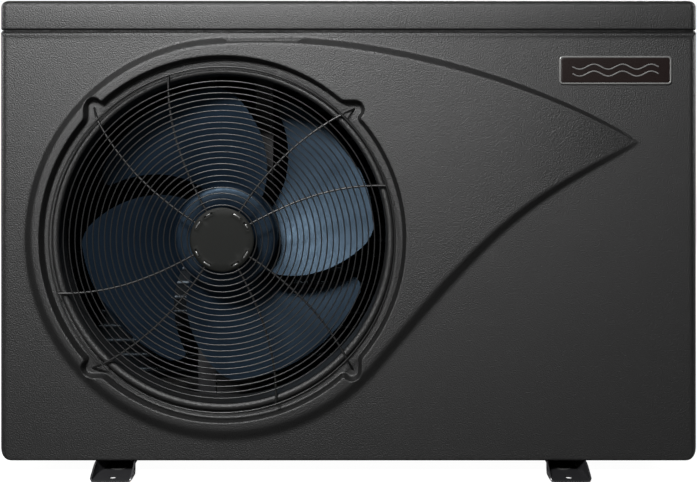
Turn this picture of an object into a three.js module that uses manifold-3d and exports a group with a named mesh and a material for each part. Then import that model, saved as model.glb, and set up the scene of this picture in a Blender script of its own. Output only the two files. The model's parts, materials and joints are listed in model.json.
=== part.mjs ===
// Side-discharge pool heat pump unit, as an assembly of separate pieces.
// Millimetres, +Z up. The front faces -Y, +X is to the right seen from the front.
// Origin: centre of the overall box in X and Y, on the ground under the feet.

import * as THREE from 'three';
import { mergeVertices } from 'three/addons/utils/BufferGeometryUtils.js';
import Module from 'manifold-3d';

const wasm = await Module();
wasm.setup();

// Driving dimensions -------------------------------------------------------------------------

const GAP = 0.3; // clearance between pieces that rest on each other
const WALL = 3.5; // moulded plastic wall
const SHEET = 1.5; // pressed steel sheet
const HALF_WIDTH = 505; // casing
const FACE_Y = -200; // plane of the front panel
const REAR_Y = 180; // plane of the rear panel
const FRONT_DEPTH = 50; // how far the front panel wraps round the sides
const REAR_DEPTH = 30;
const FOOT_HEIGHT = 20.5;
const SEAM_Z = 640.5; // top of the casing's walls
const SEAM_HEIGHT = 3; // groove between the casing and its cover
const TOP_Z = 687.5;
const LOW_CORNER = 17; // lower corners of the casing seen from the front
const HIGH_CORNER = 4; // upper corners of the casing seen from the front
const EDGE = 12; // upright edges of the casing
const COVER_EDGE = 10; // top edge of the cover
const FINE_EDGE = 3; // all other edges of the casing

const FAN_X = -181;
const FAN_Z = 342;
const LEAF_RELIEF = 11; // how far the leaf stands out of the front panel
const LEAF_FACE_Y = FACE_Y - LEAF_RELIEF;
const LEAF_HOLLOW_SCALE = 0.96; // the hollow behind the leaf, against its outline
const RECESS_FLOOR_Y = FACE_Y + 4;
const RECESS_RADIUS = 263.5;
const EAR = { angle: 44.3, reach: 266.3, radius: 13.5 }; // pockets for the guard's wire ends
const ORIFICE_RADIUS = 248;
const COLLAR_RADIUS = 236;
const COLLAR_END_Y = -160;
const FAN_TIP_RADIUS = 220;
const FAN_HUB_RADIUS = 74;
const FAN_FRONT_Y = -166;
const BLADES = 4;
const BLADE_CHORD = 75; // degrees
const BLADE_DEPTH = 55;
const SHAFT_RADIUS = 6;

const GUARD_Y = -215; // plane of the guard's rings
const GUARD_RINGS = 11;
const GUARD_FIRST_RING = 58;
const GUARD_LAST_RING = 226.9;
const GUARD_WIRE = 1.1;
const SPOKE_WIRE = 1.7;
const FRAME_RING_RADIUS = 247.5;
const HUB_PLATE_RADIUS = 46;
// Each quarter of the guard has one spoke that ends in an ear and one that ends on the frame ring.
const EAR_SPOKE = { inner: 57.7, outer: EAR.angle, power: 1.35, reach: EAR.reach };
const FRAME_SPOKE = { inner: 28.9, outer: 18.1, power: 1.6, reach: FRAME_RING_RADIUS };

const MOTOR_RADIUS = 62;
const MOTOR_FRONT_Y = -118;
const MOTOR_REAR_Y = -32;

const PARTITION_X = 210;
const COMPRESSOR = { x: 300, y: -85, radius: 62, bottom: 72, top: 330 };
const TANK = { x: 388, y: 72, radius: 84, bottom: 62, top: 500 };
const WATER_PIPE_RADIUS = 25;
const INLET_Z = 150;
const OUTLET_Z = 430;
const UNION_END_Y = 230;
const UNION_RIBS = 6;
const GAUGE = { x: 250, z: 560, radius: 27 };
const GLAND = { x: 250, z: 120, radius: 9 };
const BADGE = { x: 385, z: 585, width: 162, height: 41, radius: 5.5 };
const DISPLAY = { y: 0, z: 420, width: 110, height: 150 };
const DISPLAY_RIM = 8;

const FINISHES = {
  charcoal_plastic: { color: 0x3b3c3e, roughness: 0.5, metalness: 0 },
  black_plastic: { color: 0x151516, roughness: 0.55, metalness: 0 },
  fan_plastic: { color: 0x4a5866, roughness: 0.4, metalness: 0 },
  black_steel: { color: 0x18191a, roughness: 0.45, metalness: 0.2 },
  galvanised: { color: 0x9a9d9f, roughness: 0.45, metalness: 0.9 },
  guard_wire: { color: 0x4c4d4b, roughness: 0.45, metalness: 0.4 },
  badge: { color: 0x2f201e, roughness: 0.35, metalness: 0.3 },
  fins: { color: 0x9fb3c4, roughness: 0.5, metalness: 0.8 },
  copper: { color: 0xb56c44, roughness: 0.35, metalness: 1 },
  titanium: { color: 0x8c8b88, roughness: 0.35, metalness: 1 },
  bright_steel: { color: 0xb4b6b8, roughness: 0.3, metalness: 1 },
  rubber: { color: 0x111111, roughness: 0.9, metalness: 0 },
  pvc: { color: 0xd9dad6, roughness: 0.4, metalness: 0 },
  circuit_green: { color: 0x1f5a36, roughness: 0.6, metalness: 0 },
  clear: { color: 0xdfe6ea, roughness: 0.1, metalness: 0 },
  needle: { color: 0x9c1f1a, roughness: 0.5, metalness: 0 },
};

// Geometry helpers ---------------------------------------------------------------------------

function signedVolume(geometry) {
  const points = geometry.attributes.position;
  const order = geometry.index.array;
  const corner = [new THREE.Vector3(), new THREE.Vector3(), new THREE.Vector3()];
  let total = 0;
  for (let i = 0; i < order.length; i += 3) {
    corner.forEach((vertex, k) => vertex.fromBufferAttribute(points, order[i + k]));
    total += corner[0].dot(corner[1].cross(corner[2]));
  }
  return total / 6;
}

// A welded copy with no flat triangles and with its faces pointing out.
function weld(geometry) {
  const bare = geometry.clone();
  bare.deleteAttribute('normal');
  bare.deleteAttribute('uv');
  const merged = mergeVertices(bare, 1e-4);
  const order = merged.index.array;
  const kept = [];
  for (let i = 0; i < order.length; i += 3) {
    const [a, b, c] = [order[i], order[i + 1], order[i + 2]];
    if (a !== b && b !== c && c !== a) {
      kept.push(a, b, c);
    }
  }
  merged.setIndex(kept);
  if (signedVolume(merged) < 0) {
    merged.setIndex(kept.reverse());
  }
  return merged;
}

function solid(geometry) {
  const welded = weld(geometry);
  const vertProperties = new Float32Array(welded.attributes.position.array);
  const triVerts = new Uint32Array(welded.index.array);
  return new wasm.Manifold(new wasm.Mesh({ numProp: 3, vertProperties, triVerts }));
}

function surface(body) {
  const mesh = body.getMesh();
  const geometry = new THREE.BufferGeometry();
  geometry.setAttribute('position', new THREE.BufferAttribute(mesh.vertProperties, 3));
  geometry.setIndex(new THREE.BufferAttribute(mesh.triVerts, 1));
  return geometry;
}

function unite(solids) {
  return solids.reduce((whole, next) => whole.add(next));
}

function cut(body, tools) {
  return tools.reduce((rest, tool) => rest.subtract(tool), body);
}

function box(x0, x1, y0, y1, z0, z1) {
  const geometry = new THREE.BoxGeometry(x1 - x0, y1 - y0, z1 - z0);
  geometry.translate((x0 + x1) / 2, (y0 + y1) / 2, (z0 + z1) / 2);
  return geometry;
}

function solidBox(...limits) {
  return solid(box(...limits));
}

// A rectangle whose low (y0) corners have radius r and whose high corners have radius high.
function roundedRect(x0, y0, x1, y1, r, high = r) {
  const shape = new THREE.Shape();
  shape.moveTo(x0 + r, y0);
  shape.lineTo(x1 - r, y0);
  shape.absarc(x1 - r, y0 + r, r, -Math.PI / 2, 0);
  shape.lineTo(x1, y1 - high);
  shape.absarc(x1 - high, y1 - high, high, 0, Math.PI / 2);
  shape.lineTo(x0 + high, y1);
  shape.absarc(x0 + high, y1 - high, high, Math.PI / 2, Math.PI);
  shape.lineTo(x0, y0 + r);
  shape.absarc(x0 + r, y0 + r, r, Math.PI, 1.5 * Math.PI);
  return shape;
}

function rectangle(x0, y0, x1, y1) {
  return new THREE.Shape([
    new THREE.Vector2(x0, y0),
    new THREE.Vector2(x1, y0),
    new THREE.Vector2(x1, y1),
    new THREE.Vector2(x0, y1),
  ]);
}

// Extrudes a plan outline from z0 to z1; the bevel lies inside the outline.
function extrudeZ(shape, z0, z1, { bevel = 0, bevelWidth = bevel, arcs = 6, steps = 3, inset = 0 } = {}) {
  const geometry = new THREE.ExtrudeGeometry(shape, {
    depth: z1 - z0 - 2 * bevel,
    curveSegments: arcs,
    bevelEnabled: bevel > 0,
    bevelThickness: bevel,
    bevelSize: bevelWidth,
    bevelOffset: -bevelWidth - inset,
    bevelSegments: steps,
  });
  geometry.translate(0, 0, z0 + bevel);
  return geometry;
}

// Extrudes a front-view outline, drawn in X and Z, from y0 (front) to y1 (back).
function extrudeY(shape, y0, y1, options) {
  const geometry = extrudeZ(shape, -y1, -y0, options);
  geometry.rotateX(Math.PI / 2);
  return geometry;
}

// Extrudes a side-view outline, drawn in Y and Z, from x0 to x1.
function extrudeX(shape, x0, x1, options) {
  const geometry = extrudeZ(shape, x0, x1, options);
  geometry.rotateZ(Math.PI / 2);
  geometry.rotateY(Math.PI / 2);
  return geometry;
}

// Turns a profile of [radius, along] points about the Y axis (along = y) at (x, z).
function latheY(profile, x, z, segments = 24) {
  const points = profile.map(([radius, along]) => new THREE.Vector2(radius, along));
  const geometry = new THREE.LatheGeometry(points, segments);
  geometry.translate(x, 0, z);
  return geometry;
}

function closed(profile) {
  return [...profile, profile[0]];
}

function latheZ(profile, x, y, segments = 20) {
  const geometry = latheY(profile, 0, 0, segments);
  geometry.rotateX(Math.PI / 2);
  geometry.translate(x, y, 0);
  return geometry;
}

function cylinderY(radius, y0, y1, x, z, segments = 20) {
  return latheY([[0, y0], [radius, y0], [radius, y1], [0, y1]], x, z, segments);
}

function cylinderZ(radius, z0, z1, x, y, segments = 20) {
  return latheZ([[0, z0], [radius, z0], [radius, z1], [0, z1]], x, y, segments);
}

function cylinderX(radius, x0, x1, y, z, segments = 16) {
  const geometry = cylinderZ(radius, x0, x1, 0, 0, segments);
  geometry.rotateY(Math.PI / 2);
  geometry.translate(0, y, z);
  return geometry;
}

function ringY(inner, outer, y0, y1, x, z, segments = 24) {
  return latheY(closed([[inner, y0], [outer, y0], [outer, y1], [inner, y1]]), x, z, segments);
}

function tube(path, radius, { sides = 8, steps = 16 } = {}) {
  const section = new THREE.Shape();
  for (let i = 0; i < sides; i += 1) {
    const angle = (2 * Math.PI * (i + 0.5)) / sides;
    const [x, y] = [radius * Math.cos(angle), radius * Math.sin(angle)];
    if (i === 0) {
      section.moveTo(x, y);
    } else {
      section.lineTo(x, y);
    }
  }
  return new THREE.ExtrudeGeometry(section, { steps, extrudePath: path, bevelEnabled: false });
}

function smoothPath(points, tension = 0.3) {
  const vectors = points.map((point) => new THREE.Vector3(...point));
  return new THREE.CatmullRomCurve3(vectors, false, 'catmullrom', tension);
}

function aroundFan(radius, degrees, y) {
  const angle = THREE.MathUtils.degToRad(degrees);
  return [FAN_X + radius * Math.cos(angle), y, FAN_Z + radius * Math.sin(angle)];
}

const assembly = new THREE.Group();

function addPiece(name, shape, finish) {
  const geometry = shape instanceof wasm.Manifold ? surface(shape) : weld(shape);
  geometry.computeVertexNormals();
  const mesh = new THREE.Mesh(geometry, new THREE.MeshStandardMaterial(FINISHES[finish]));
  mesh.name = name;
  assembly.add(mesh);
}

// Base ---------------------------------------------------------------------------------------

// The pan's middle sits down on the feet, between the front and rear panels' lower flanges.
function basePan() {
  const ledge = FOOT_HEIGHT + 2 * GAP + WALL;
  const side = HALF_WIDTH - LOW_CORNER - FINE_EDGE;
  const wide = [side, FACE_Y + WALL + EDGE, REAR_Y - WALL - EDGE, ledge];
  const deep = [side, FACE_Y + FRONT_DEPTH + 1, REAR_Y - REAR_DEPTH - 1, FOOT_HEIGHT + GAP];
  const block = ([x, y0, y1, z0], inset) => (
    solidBox(inset - x, x - inset, y0 + inset, y1 - inset, z0 + inset, ledge + 30 + 2 * inset)
  );
  const [spoutX, spoutY] = [-60, 60];
  const spout = solid(cylinderZ(10, 6, FOOT_HEIGHT + 1, spoutX, spoutY, 12));
  const bore = solid(cylinderZ(7.5, 0, FOOT_HEIGHT + 10, spoutX, spoutY, 12));
  const pan = block(wide, 0).add(block(deep, 0)).add(spout);
  return cut(pan, [block(wide, SHEET), block(deep, SHEET), bore]);
}

// A pressed channel, open at the top, wider at its projecting tips, where its flanges rise.
function footRail(x) {
  const [wide, narrow, thick] = [29.75, 20, 2.5];
  const [front, rear] = [FACE_Y - 30, REAR_Y + 30];
  const [straight, flare, rise] = [34, 26, 31];
  const plan = (inset) => {
    const side = [
      [front, wide],
      [front + straight, wide],
      [front + straight + flare, narrow],
      [rear - straight - flare, narrow],
      [rear - straight, wide],
      [rear, wide],
    ].map(([y, half]) => new THREE.Vector2(x + half - inset, y));
    const otherSide = side.map(({ x: px, y }) => new THREE.Vector2(2 * x - px, y)).reverse();
    return new THREE.Shape([...side, ...otherSide]);
  };
  const profile = new THREE.Shape([
    new THREE.Vector2(front, 0),
    new THREE.Vector2(rear, 0),
    new THREE.Vector2(rear, thick),
    new THREE.Vector2(rear - rise, FOOT_HEIGHT),
    new THREE.Vector2(front + rise, FOOT_HEIGHT),
    new THREE.Vector2(front, thick),
  ]);
  const side = solid(extrudeX(profile, x - 40, x + 40));
  const block = solid(extrudeZ(plan(0), 0, FOOT_HEIGHT)).intersect(side);
  const trough = extrudeZ(plan(thick), thick, FOOT_HEIGHT + 1);
  trough.scale(1, 1.01, 1);
  const anchorHoles = [front + 16, rear - 16].map((y) => solid(cylinderZ(5.5, -1, 10, x, y, 12)));
  const drainHoles = [front + 62, rear - 62].map((y) => solid(cylinderZ(13, -1, 10, x, y, 16)));
  return cut(block, [solid(trough), ...anchorHoles, ...drainHoles]);
}

// Front panel --------------------------------------------------------------------------------

// Round at the fan, drawn out to a point at the upper right.
function leafShape() {
  const [cx, cz, radius] = [-177, 342, 289];
  const tip = new THREE.Vector2(424, 480);
  const [last, first] = [-40, 95].map(THREE.MathUtils.degToRad);
  const low = new THREE.Vector2(cx + radius * Math.cos(last), cz + radius * Math.sin(last));
  const high = new THREE.Vector2(cx + radius * Math.cos(first), cz + radius * Math.sin(first));
  const shape = new THREE.Shape();
  shape.moveTo(high.x, high.y);
  shape.absarc(cx, cz, radius, first, last + 2 * Math.PI);
  shape.bezierCurveTo(low.x + 180, low.y + 214, tip.x - 172, tip.y - 92, tip.x, tip.y);
  shape.bezierCurveTo(tip.x - 66, tip.y + 45, high.x + 299, high.y + 26, high.x, high.y);
  return shape;
}

// Four directions a quarter turn apart.
function quarters(degrees) {
  return [0, 90, 180, 270].map((turn) => turn + degrees);
}

// A round recess with four ears. Each ear has one long flank, tangent to its rounded end.
function recessSolid(radius, grow, y0, y1) {
  const disc = solid(cylinderY(radius + grow, y0, y1, FAN_X, FAN_Z, 40));
  const angle = THREE.MathUtils.degToRad(EAR.angle);
  const [ex, ez] = [EAR.reach * Math.cos(angle), EAR.reach * Math.sin(angle)];
  const round = EAR.radius + grow;
  const inward = EAR.reach - 45;
  const [ix, iz] = [inward * Math.cos(angle), inward * Math.sin(angle)];
  const ears = quarters(0).map((turn) => {
    const shape = new THREE.Shape();
    shape.moveTo(ix + round, iz - round);
    shape.lineTo(ex + round * Math.cos(-1.1), ez + round * Math.sin(-1.1));
    shape.absarc(ex, ez, round, -1.1, Math.PI / 2);
    shape.lineTo(ex - 30, ez + round);
    shape.lineTo(ix - round, iz);
    const ear = extrudeY(shape, y0, y1, { arcs: 4 });
    ear.rotateY(-THREE.MathUtils.degToRad(turn));
    ear.translate(FAN_X, 0, FAN_Z);
    return solid(ear);
  });
  return unite([disc, ...ears]);
}

// A casing end seen from the front or back: a shallow tray with rounded edges.
function endTray(outerY, innerY) {
  const toFront = outerY < innerY;
  const keep = toFront ? [outerY - 1, innerY] : [innerY, outerY + 1];
  const make = (inset) => {
    const bevel = Math.max(FINE_EDGE - inset, 0);
    const reach = toFront
      ? [outerY + inset, innerY + 2 * EDGE]
      : [innerY - 2 * EDGE, outerY - inset];
    const block = solid(extrudeY(casingOutline(inset), ...reach, { bevel, arcs: 2, steps: 1 }));
    return block.intersect(solid(extrudeZ(casingPlan(inset), 0, TOP_Z, { arcs: 3 })));
  };
  const slab = solidBox(-HALF_WIDTH - 1, HALF_WIDTH + 1, ...keep, 0, TOP_Z);
  return { outer: make(0).intersect(slab), inner: make(WALL) };
}

function frontPanel() {
  const { outer, inner } = endTray(FACE_Y, FACE_Y + FRONT_DEPTH);
  const leafOptions = { bevel: LEAF_RELIEF, bevelWidth: 9, arcs: 9, steps: 1 };
  const leaf = solid(extrudeY(leafShape(), LEAF_FACE_Y, FACE_Y + 14, leafOptions));
  const front = solidBox(-HALF_WIDTH, HALF_WIDTH, LEAF_FACE_Y - 1, FACE_Y + 1, 0, TOP_Z);
  const backing = extrudeY(leafShape(), LEAF_FACE_Y + WALL, FACE_Y + 18, leafOptions);
  backing.translate(-FAN_X, 0, -FAN_Z);
  backing.scale(LEAF_HOLLOW_SCALE, 1, LEAF_HOLLOW_SCALE);
  backing.translate(FAN_X, 0, FAN_Z);
  const leafHollow = solid(backing);
  const behind = solidBox(-HALF_WIDTH, HALF_WIDTH, LEAF_FACE_Y, FACE_Y + WALL + 1, 0, TOP_Z);
  const boss = recessSolid(RECESS_RADIUS, WALL, LEAF_FACE_Y - 1, RECESS_FLOOR_Y + WALL);
  const hollow = inner.add(leafHollow.intersect(behind)).subtract(boss);
  const recess = recessSolid(RECESS_RADIUS, 0, LEAF_FACE_Y - 20, RECESS_FLOOR_Y);
  const orifice = solid(cylinderY(ORIFICE_RADIUS, LEAF_FACE_Y - 20, 0, FAN_X, FAN_Z, 40));
  const wireHoles = quarters(EAR.angle).map((degrees) => {
    const [x, , z] = aroundFan(EAR.reach, degrees, 0);
    return solid(cylinderY(SPOKE_WIRE + 1, RECESS_FLOOR_Y - 5, RECESS_FLOOR_Y + 20, x, z, 10));
  });
  return cut(outer.add(leaf.intersect(front)), [hollow, recess, orifice, ...wireHoles]);
}

// A rolled lip, a flange against the panel's back and a short collar behind it.
function venturiRing() {
  const lip = ORIFICE_RADIUS - GAP - 0.8;
  const flange = ORIFICE_RADIUS + 14;
  const back = RECESS_FLOOR_Y + WALL + GAP;
  const profile = closed([
    [COLLAR_RADIUS, LEAF_FACE_Y + 6],
    [241, LEAF_FACE_Y + 3],
    [lip - 3, LEAF_FACE_Y + 5],
    [lip, LEAF_FACE_Y + 11],
    [lip, back],
    [flange, back],
    [flange, back + 3],
    [COLLAR_RADIUS + 3, back + 3],
    [COLLAR_RADIUS + 3, COLLAR_END_Y],
    [COLLAR_RADIUS, COLLAR_END_Y],
  ]);
  return latheY(profile, FAN_X, FAN_Z, 40);
}

// Fan guard ----------------------------------------------------------------------------------

// A point of a spoke: it leaves the hub along a radius and leans over more and more.
function onSpoke({ inner, outer, power, reach }, radius, y) {
  const span = (radius - HUB_PLATE_RADIUS) / (reach - HUB_PLATE_RADIUS);
  const lean = (outer - inner) * Math.pow(Math.max(span, 0), power);
  return aroundFan(radius, inner + lean, y);
}

// Ear spokes bend back at their ends and enter the holes in the ears; the others stop in front.
function spoke(course, turn, toEar) {
  const turned = { ...course, inner: course.inner + turn, outer: course.outer + turn };
  const plane = GUARD_Y + SPOKE_WIRE;
  const radii = [HUB_PLATE_RADIUS - 8, 90, 135, 180, 220];
  const points = radii.map((radius) => onSpoke(turned, radius, plane));
  if (toEar) {
    points.push(onSpoke(turned, EAR.reach - 12, plane), onSpoke(turned, EAR.reach - 4, plane + 3));
    points.push(onSpoke(turned, EAR.reach, plane + 9), onSpoke(turned, EAR.reach, RECESS_FLOOR_Y + WALL));
  } else {
    points.push(onSpoke(turned, FRAME_RING_RADIUS, plane));
  }
  return solid(tube(smoothPath(points), SPOKE_WIRE, { sides: 4, steps: 2 * points.length }));
}

function guardRing(radius, y, wire, sides, segments) {
  const ring = new THREE.TorusGeometry(radius, wire, sides, segments);
  ring.rotateX(Math.PI / 2);
  ring.translate(FAN_X, y, FAN_Z);
  return solid(ring);
}

function fanGuard() {
  const rings = [];
  for (let i = 0; i < GUARD_RINGS; i += 1) {
    const radius = THREE.MathUtils.lerp(GUARD_FIRST_RING, GUARD_LAST_RING, i / (GUARD_RINGS - 1));
    rings.push(guardRing(radius, GUARD_Y, GUARD_WIRE, 3, 20));
  }
  rings.push(guardRing(FRAME_RING_RADIUS, GUARD_Y, GUARD_WIRE, 4, 32));
  const spokes = quarters(0).flatMap((turn) => [
    spoke(EAR_SPOKE, turn, true),
    spoke(FRAME_SPOKE, turn, false),
  ]);
  const hubRing = solid(ringY(30, 42, GUARD_Y + 1, GUARD_Y + 4, FAN_X, FAN_Z, 24));
  return unite([hubRing, ...spokes, ...rings]);
}

// A dished cover with a crimping slot in front of each spoke.
function guardHubPlate() {
  const [front, back] = [GUARD_Y - 1.8, GUARD_Y - 0.1];
  const rim = HUB_PLATE_RADIUS;
  const profile = [[0, front], [rim - 6, front], [rim, front + 1], [rim, back], [0, back]];
  const plate = solid(latheY(profile, FAN_X, FAN_Z, 24));
  const middles = [...quarters(EAR_SPOKE.inner), ...quarters(FRAME_SPOKE.inner)];
  const slots = middles.map((degrees) => {
    const slot = box(rim - 8, rim - 5, front - 1, back + 1, -5, 5);
    slot.rotateY(-THREE.MathUtils.degToRad(degrees));
    slot.translate(FAN_X, 0, FAN_Z);
    return solid(slot);
  });
  return cut(plate, slots);
}

// Fan ----------------------------------------------------------------------------------------

// A blade is a thin twisted plate: its trailing edge is in front and its leading edge is deeper.
function fanBlade(index) {
  const blade = new THREE.BoxGeometry(1, 1, 1, 5, 1, 4);
  const points = blade.attributes.position;
  for (let i = 0; i < points.count; i += 1) {
    const along = points.getX(i) + 0.5;
    const out = points.getZ(i) + 0.5;
    const radius = THREE.MathUtils.lerp(FAN_HUB_RADIUS - 2, FAN_TIP_RADIUS, out);
    const trailing = 0.3 * (radius - FAN_TIP_RADIUS);
    const degrees = trailing + BLADE_CHORD * along + index * (360 / BLADES);
    const y = bladeFront(radius) + BLADE_DEPTH * Math.pow(along, 0.9) + points.getY(i) * 2.6;
    points.setXYZ(i, ...aroundFan(radius, degrees, y));
  }
  return solid(blade);
}

// The trailing edge leans back a little towards the tip.
function bladeFront(radius) {
  return FAN_FRONT_Y + 8 + 0.1 * (radius - FAN_HUB_RADIUS);
}

function fanWheel() {
  const radius = FAN_HUB_RADIUS;
  const front = FAN_FRONT_Y;
  const bore = SHAFT_RADIUS + 0.5;
  const profile = closed([
    [bore, front],
    [30, front],
    [radius - 5, front + 5],
    [radius, front + 12],
    [radius, front + 68],
    [radius - 3, front + 68],
    [radius - 3, front + 13],
    [14, front + 5],
    [14, front + 38],
    [bore, front + 38],
  ]);
  const hub = solid(latheY(profile, FAN_X, FAN_Z, 24));
  const blades = Array.from({ length: BLADES }, (_, index) => fanBlade(index));
  return unite([hub, ...blades]);
}

function motorShaft() {
  return cylinderY(SHAFT_RADIUS, FAN_FRONT_Y - 13, MOTOR_REAR_Y - 8, FAN_X, FAN_Z, 16);
}

function fanNut() {
  return ringY(SHAFT_RADIUS + 1.6, 11, FAN_FRONT_Y - 9.5, FAN_FRONT_Y - 0.5, FAN_X, FAN_Z, 6);
}

// Motor --------------------------------------------------------------------------------------

function motorShell(y0, y1, hole) {
  const wall = 3;
  const inside = y0 === MOTOR_FRONT_Y ? y0 + wall : y1 - wall;
  const outside = y0 === MOTOR_FRONT_Y ? y0 : y1;
  const rim = y0 === MOTOR_FRONT_Y ? y1 : y0;
  const boss = outside + (inside - outside) * 4.4;
  return latheY(closed([
    [hole, outside],
    [MOTOR_RADIUS, outside],
    [MOTOR_RADIUS, rim],
    [MOTOR_RADIUS - wall, rim],
    [MOTOR_RADIUS - wall, inside],
    [hole + 4, inside],
    [hole + 4, boss],
    [hole, boss],
  ]), FAN_X, FAN_Z, 18);
}

function bearing(y0) {
  return ringY(SHAFT_RADIUS + 0.5, 13, y0, y0 + 9, FAN_X, FAN_Z, 16);
}

function motorStator() {
  const outer = MOTOR_RADIUS - 4;
  return ringY(34, outer, MOTOR_FRONT_Y + 24, MOTOR_REAR_Y - 24, FAN_X, FAN_Z, 24);
}

function motorRotor() {
  return ringY(SHAFT_RADIUS + 0.5, 32.5, MOTOR_FRONT_Y + 22, MOTOR_REAR_Y - 22, FAN_X, FAN_Z, 20);
}

// Two uprights from the base pan, joined by the plate that carries the motor.
function motorBracket() {
  const [y0, y1] = [MOTOR_REAR_Y + GAP, MOTOR_REAR_Y + 14];
  const foot = FOOT_HEIGHT + GAP + SHEET + GAP;
  const uprights = [-46, 46].map((x) => {
    const [x0, x1] = [FAN_X + x - 14, FAN_X + x + 14];
    const post = solidBox(x0, x1, y0, y1, foot, 612);
    return post.subtract(solidBox(x0 + 2, x1 - 2, y0 + 2, y1 + 1, foot + 12, 600));
  });
  const plate = solidBox(FAN_X - 62, FAN_X + 62, y0, y0 + 3, FAN_Z - 66, FAN_Z + 66);
  const base = solidBox(FAN_X - 62, FAN_X + 62, y0, y1 + 30, foot, foot + 2);
  const opening = solid(cylinderY(15, y0 - 1, y0 + 5, FAN_X, FAN_Z, 12));
  return cut(unite([...uprights, plate, base]), [opening]);
}

// Casing -------------------------------------------------------------------------------------

// A shallow lid whose lower flange stands back in the seam.
function topCover() {
  const bottom = SEAM_Z + SEAM_HEIGHT;
  const plan = casingPlan(0);
  const lower = solid(extrudeZ(plan, bottom, bottom + 22, { bevel: FINE_EDGE, arcs: 3, steps: 1 }));
  const upper = solid(extrudeZ(plan, bottom - 15, TOP_Z, { bevel: COVER_EDGE, arcs: 3 }));
  const slab = solidBox(-HALF_WIDTH - 1, HALF_WIDTH + 1, FACE_Y - 1, REAR_Y + 1, bottom + 11, TOP_Z + 1);
  const flange = solid(extrudeZ(casingPlan(SEAM_HEIGHT), SEAM_Z + GAP, bottom + 5, { arcs: 3 }));
  const hollowTop = TOP_Z - WALL;
  const edge = { bevel: 4, arcs: 2, steps: 1 };
  const hollow = solid(extrudeZ(casingPlan(2 * WALL), bottom - 30, hollowTop, edge));
  return unite([lower, upper.intersect(slab), flange]).subtract(hollow);
}

// Front view of the casing below its cover.
function casingOutline(inset) {
  const half = HALF_WIDTH - inset;
  const [low, high] = [FOOT_HEIGHT + GAP + inset, SEAM_Z - inset];
  return roundedRect(-half, low, half, high, LOW_CORNER - inset, HIGH_CORNER - inset);
}

// Top view of the casing.
function casingPlan(inset) {
  const half = HALF_WIDTH - inset;
  return roundedRect(-half, FACE_Y + inset, half, REAR_Y - inset, EDGE - inset);
}

// A side panel spans between the front and rear panels and follows their rounded corners.
function sidePanel(side, cutouts) {
  const [outer, inner] = [side * (HALF_WIDTH + 1), side * (HALF_WIDTH - LOW_CORNER + GAP)];
  const [x0, x1] = [Math.min(outer, inner), Math.max(outer, inner)];
  const [y0, y1] = [FACE_Y + FRONT_DEPTH + GAP, REAR_Y - REAR_DEPTH - GAP];
  const sleeve = solid(extrudeY(casingOutline(0), y0, y1, { arcs: 2 }));
  const hollow = solid(extrudeY(casingOutline(WALL), y0 - 1, y1 + 1, { arcs: 2 }));
  const wall = sleeve.subtract(hollow).intersect(solidBox(x0, x1, y0, y1, 0, TOP_Z));
  return cut(wall, cutouts.map((cutout) => solidBox(x0 - 1, x1 + 1, ...cutout)));
}

// Air slots beside the coil's left leg.
function leftSidePanel() {
  const slots = [];
  for (let row = 0; row < 11; row += 1) {
    const z = 90 + row * 47;
    slots.push([-120, -8, z, z + 30], [8, 120, z, z + 30]);
  }
  return sidePanel(-1, slots);
}

function rightSidePanel() {
  const { y, z, width, height } = DISPLAY;
  const half = [width / 2 - DISPLAY_RIM + GAP, height / 2 - DISPLAY_RIM + GAP];
  return sidePanel(1, [[y - half[0], y + half[0], z - half[1], z + half[1]]]);
}

const REAR_OPENING = { x0: -462, x1: 176, z0: 70, z1: 612 };

function rearPanel() {
  const { outer, inner } = endTray(REAR_Y, REAR_Y - REAR_DEPTH);
  const { x0, x1, z0, z1 } = REAR_OPENING;
  const opening = solidBox(x0, x1, REAR_Y - 60, REAR_Y + 5, z0, z1);
  const pipeHoles = [INLET_Z, OUTLET_Z].map((z) => (
    solid(cylinderY(WATER_PIPE_RADIUS + 8, REAR_Y - 20, REAR_Y + 5, TANK.x, z, 20))
  ));
  const gaugeHole = solid(cylinderY(GAUGE.radius + 1, REAR_Y - 20, REAR_Y + 5, GAUGE.x, GAUGE.z, 16));
  const glandHole = solid(cylinderY(GLAND.radius, REAR_Y - 20, REAR_Y + 5, GLAND.x, GLAND.z, 10));
  return cut(outer, [inner, opening, ...pipeHoles, gaugeHole, glandHole]);
}

// A grid of bars in a frame, set just inside the rear panel's opening.
function rearCoilGuard() {
  const { x0, x1, z0, z1 } = REAR_OPENING;
  const [columns, rows, bar, rim] = [5, 7, 3, 6];
  const [y0, y1] = [REAR_Y - 6, REAR_Y - 3];
  const stepX = (x1 - x0 - 2 - 2 * rim + bar) / columns;
  const stepZ = (z1 - z0 - 2 - 2 * rim + bar) / rows;
  const gaps = [];
  for (let i = 0; i < columns; i += 1) {
    for (let j = 0; j < rows; j += 1) {
      const [x, z] = [x0 + 1 + rim + i * stepX, z0 + 1 + rim + j * stepZ];
      gaps.push(solidBox(x, x + stepX - bar, y0 - 1, y1 + 1, z, z + stepZ - bar));
    }
  }
  return cut(solidBox(x0 + 1, x1 - 1, y0, y1, z0 + 1, z1 - 1), gaps);
}

function badgePlate() {
  const { x, z, width, height, radius } = BADGE;
  const shape = roundedRect(x - width / 2, z - height / 2, x + width / 2, z + height / 2, radius);
  return extrudeY(shape, FACE_Y - 3, FACE_Y - GAP, { bevel: 0.8, arcs: 3, steps: 1 });
}

// Evaporator ---------------------------------------------------------------------------------

const COIL = { left: -478, right: 176, front: -146, back: 166, deep: 38, bottom: 62, top: 622 };

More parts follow.
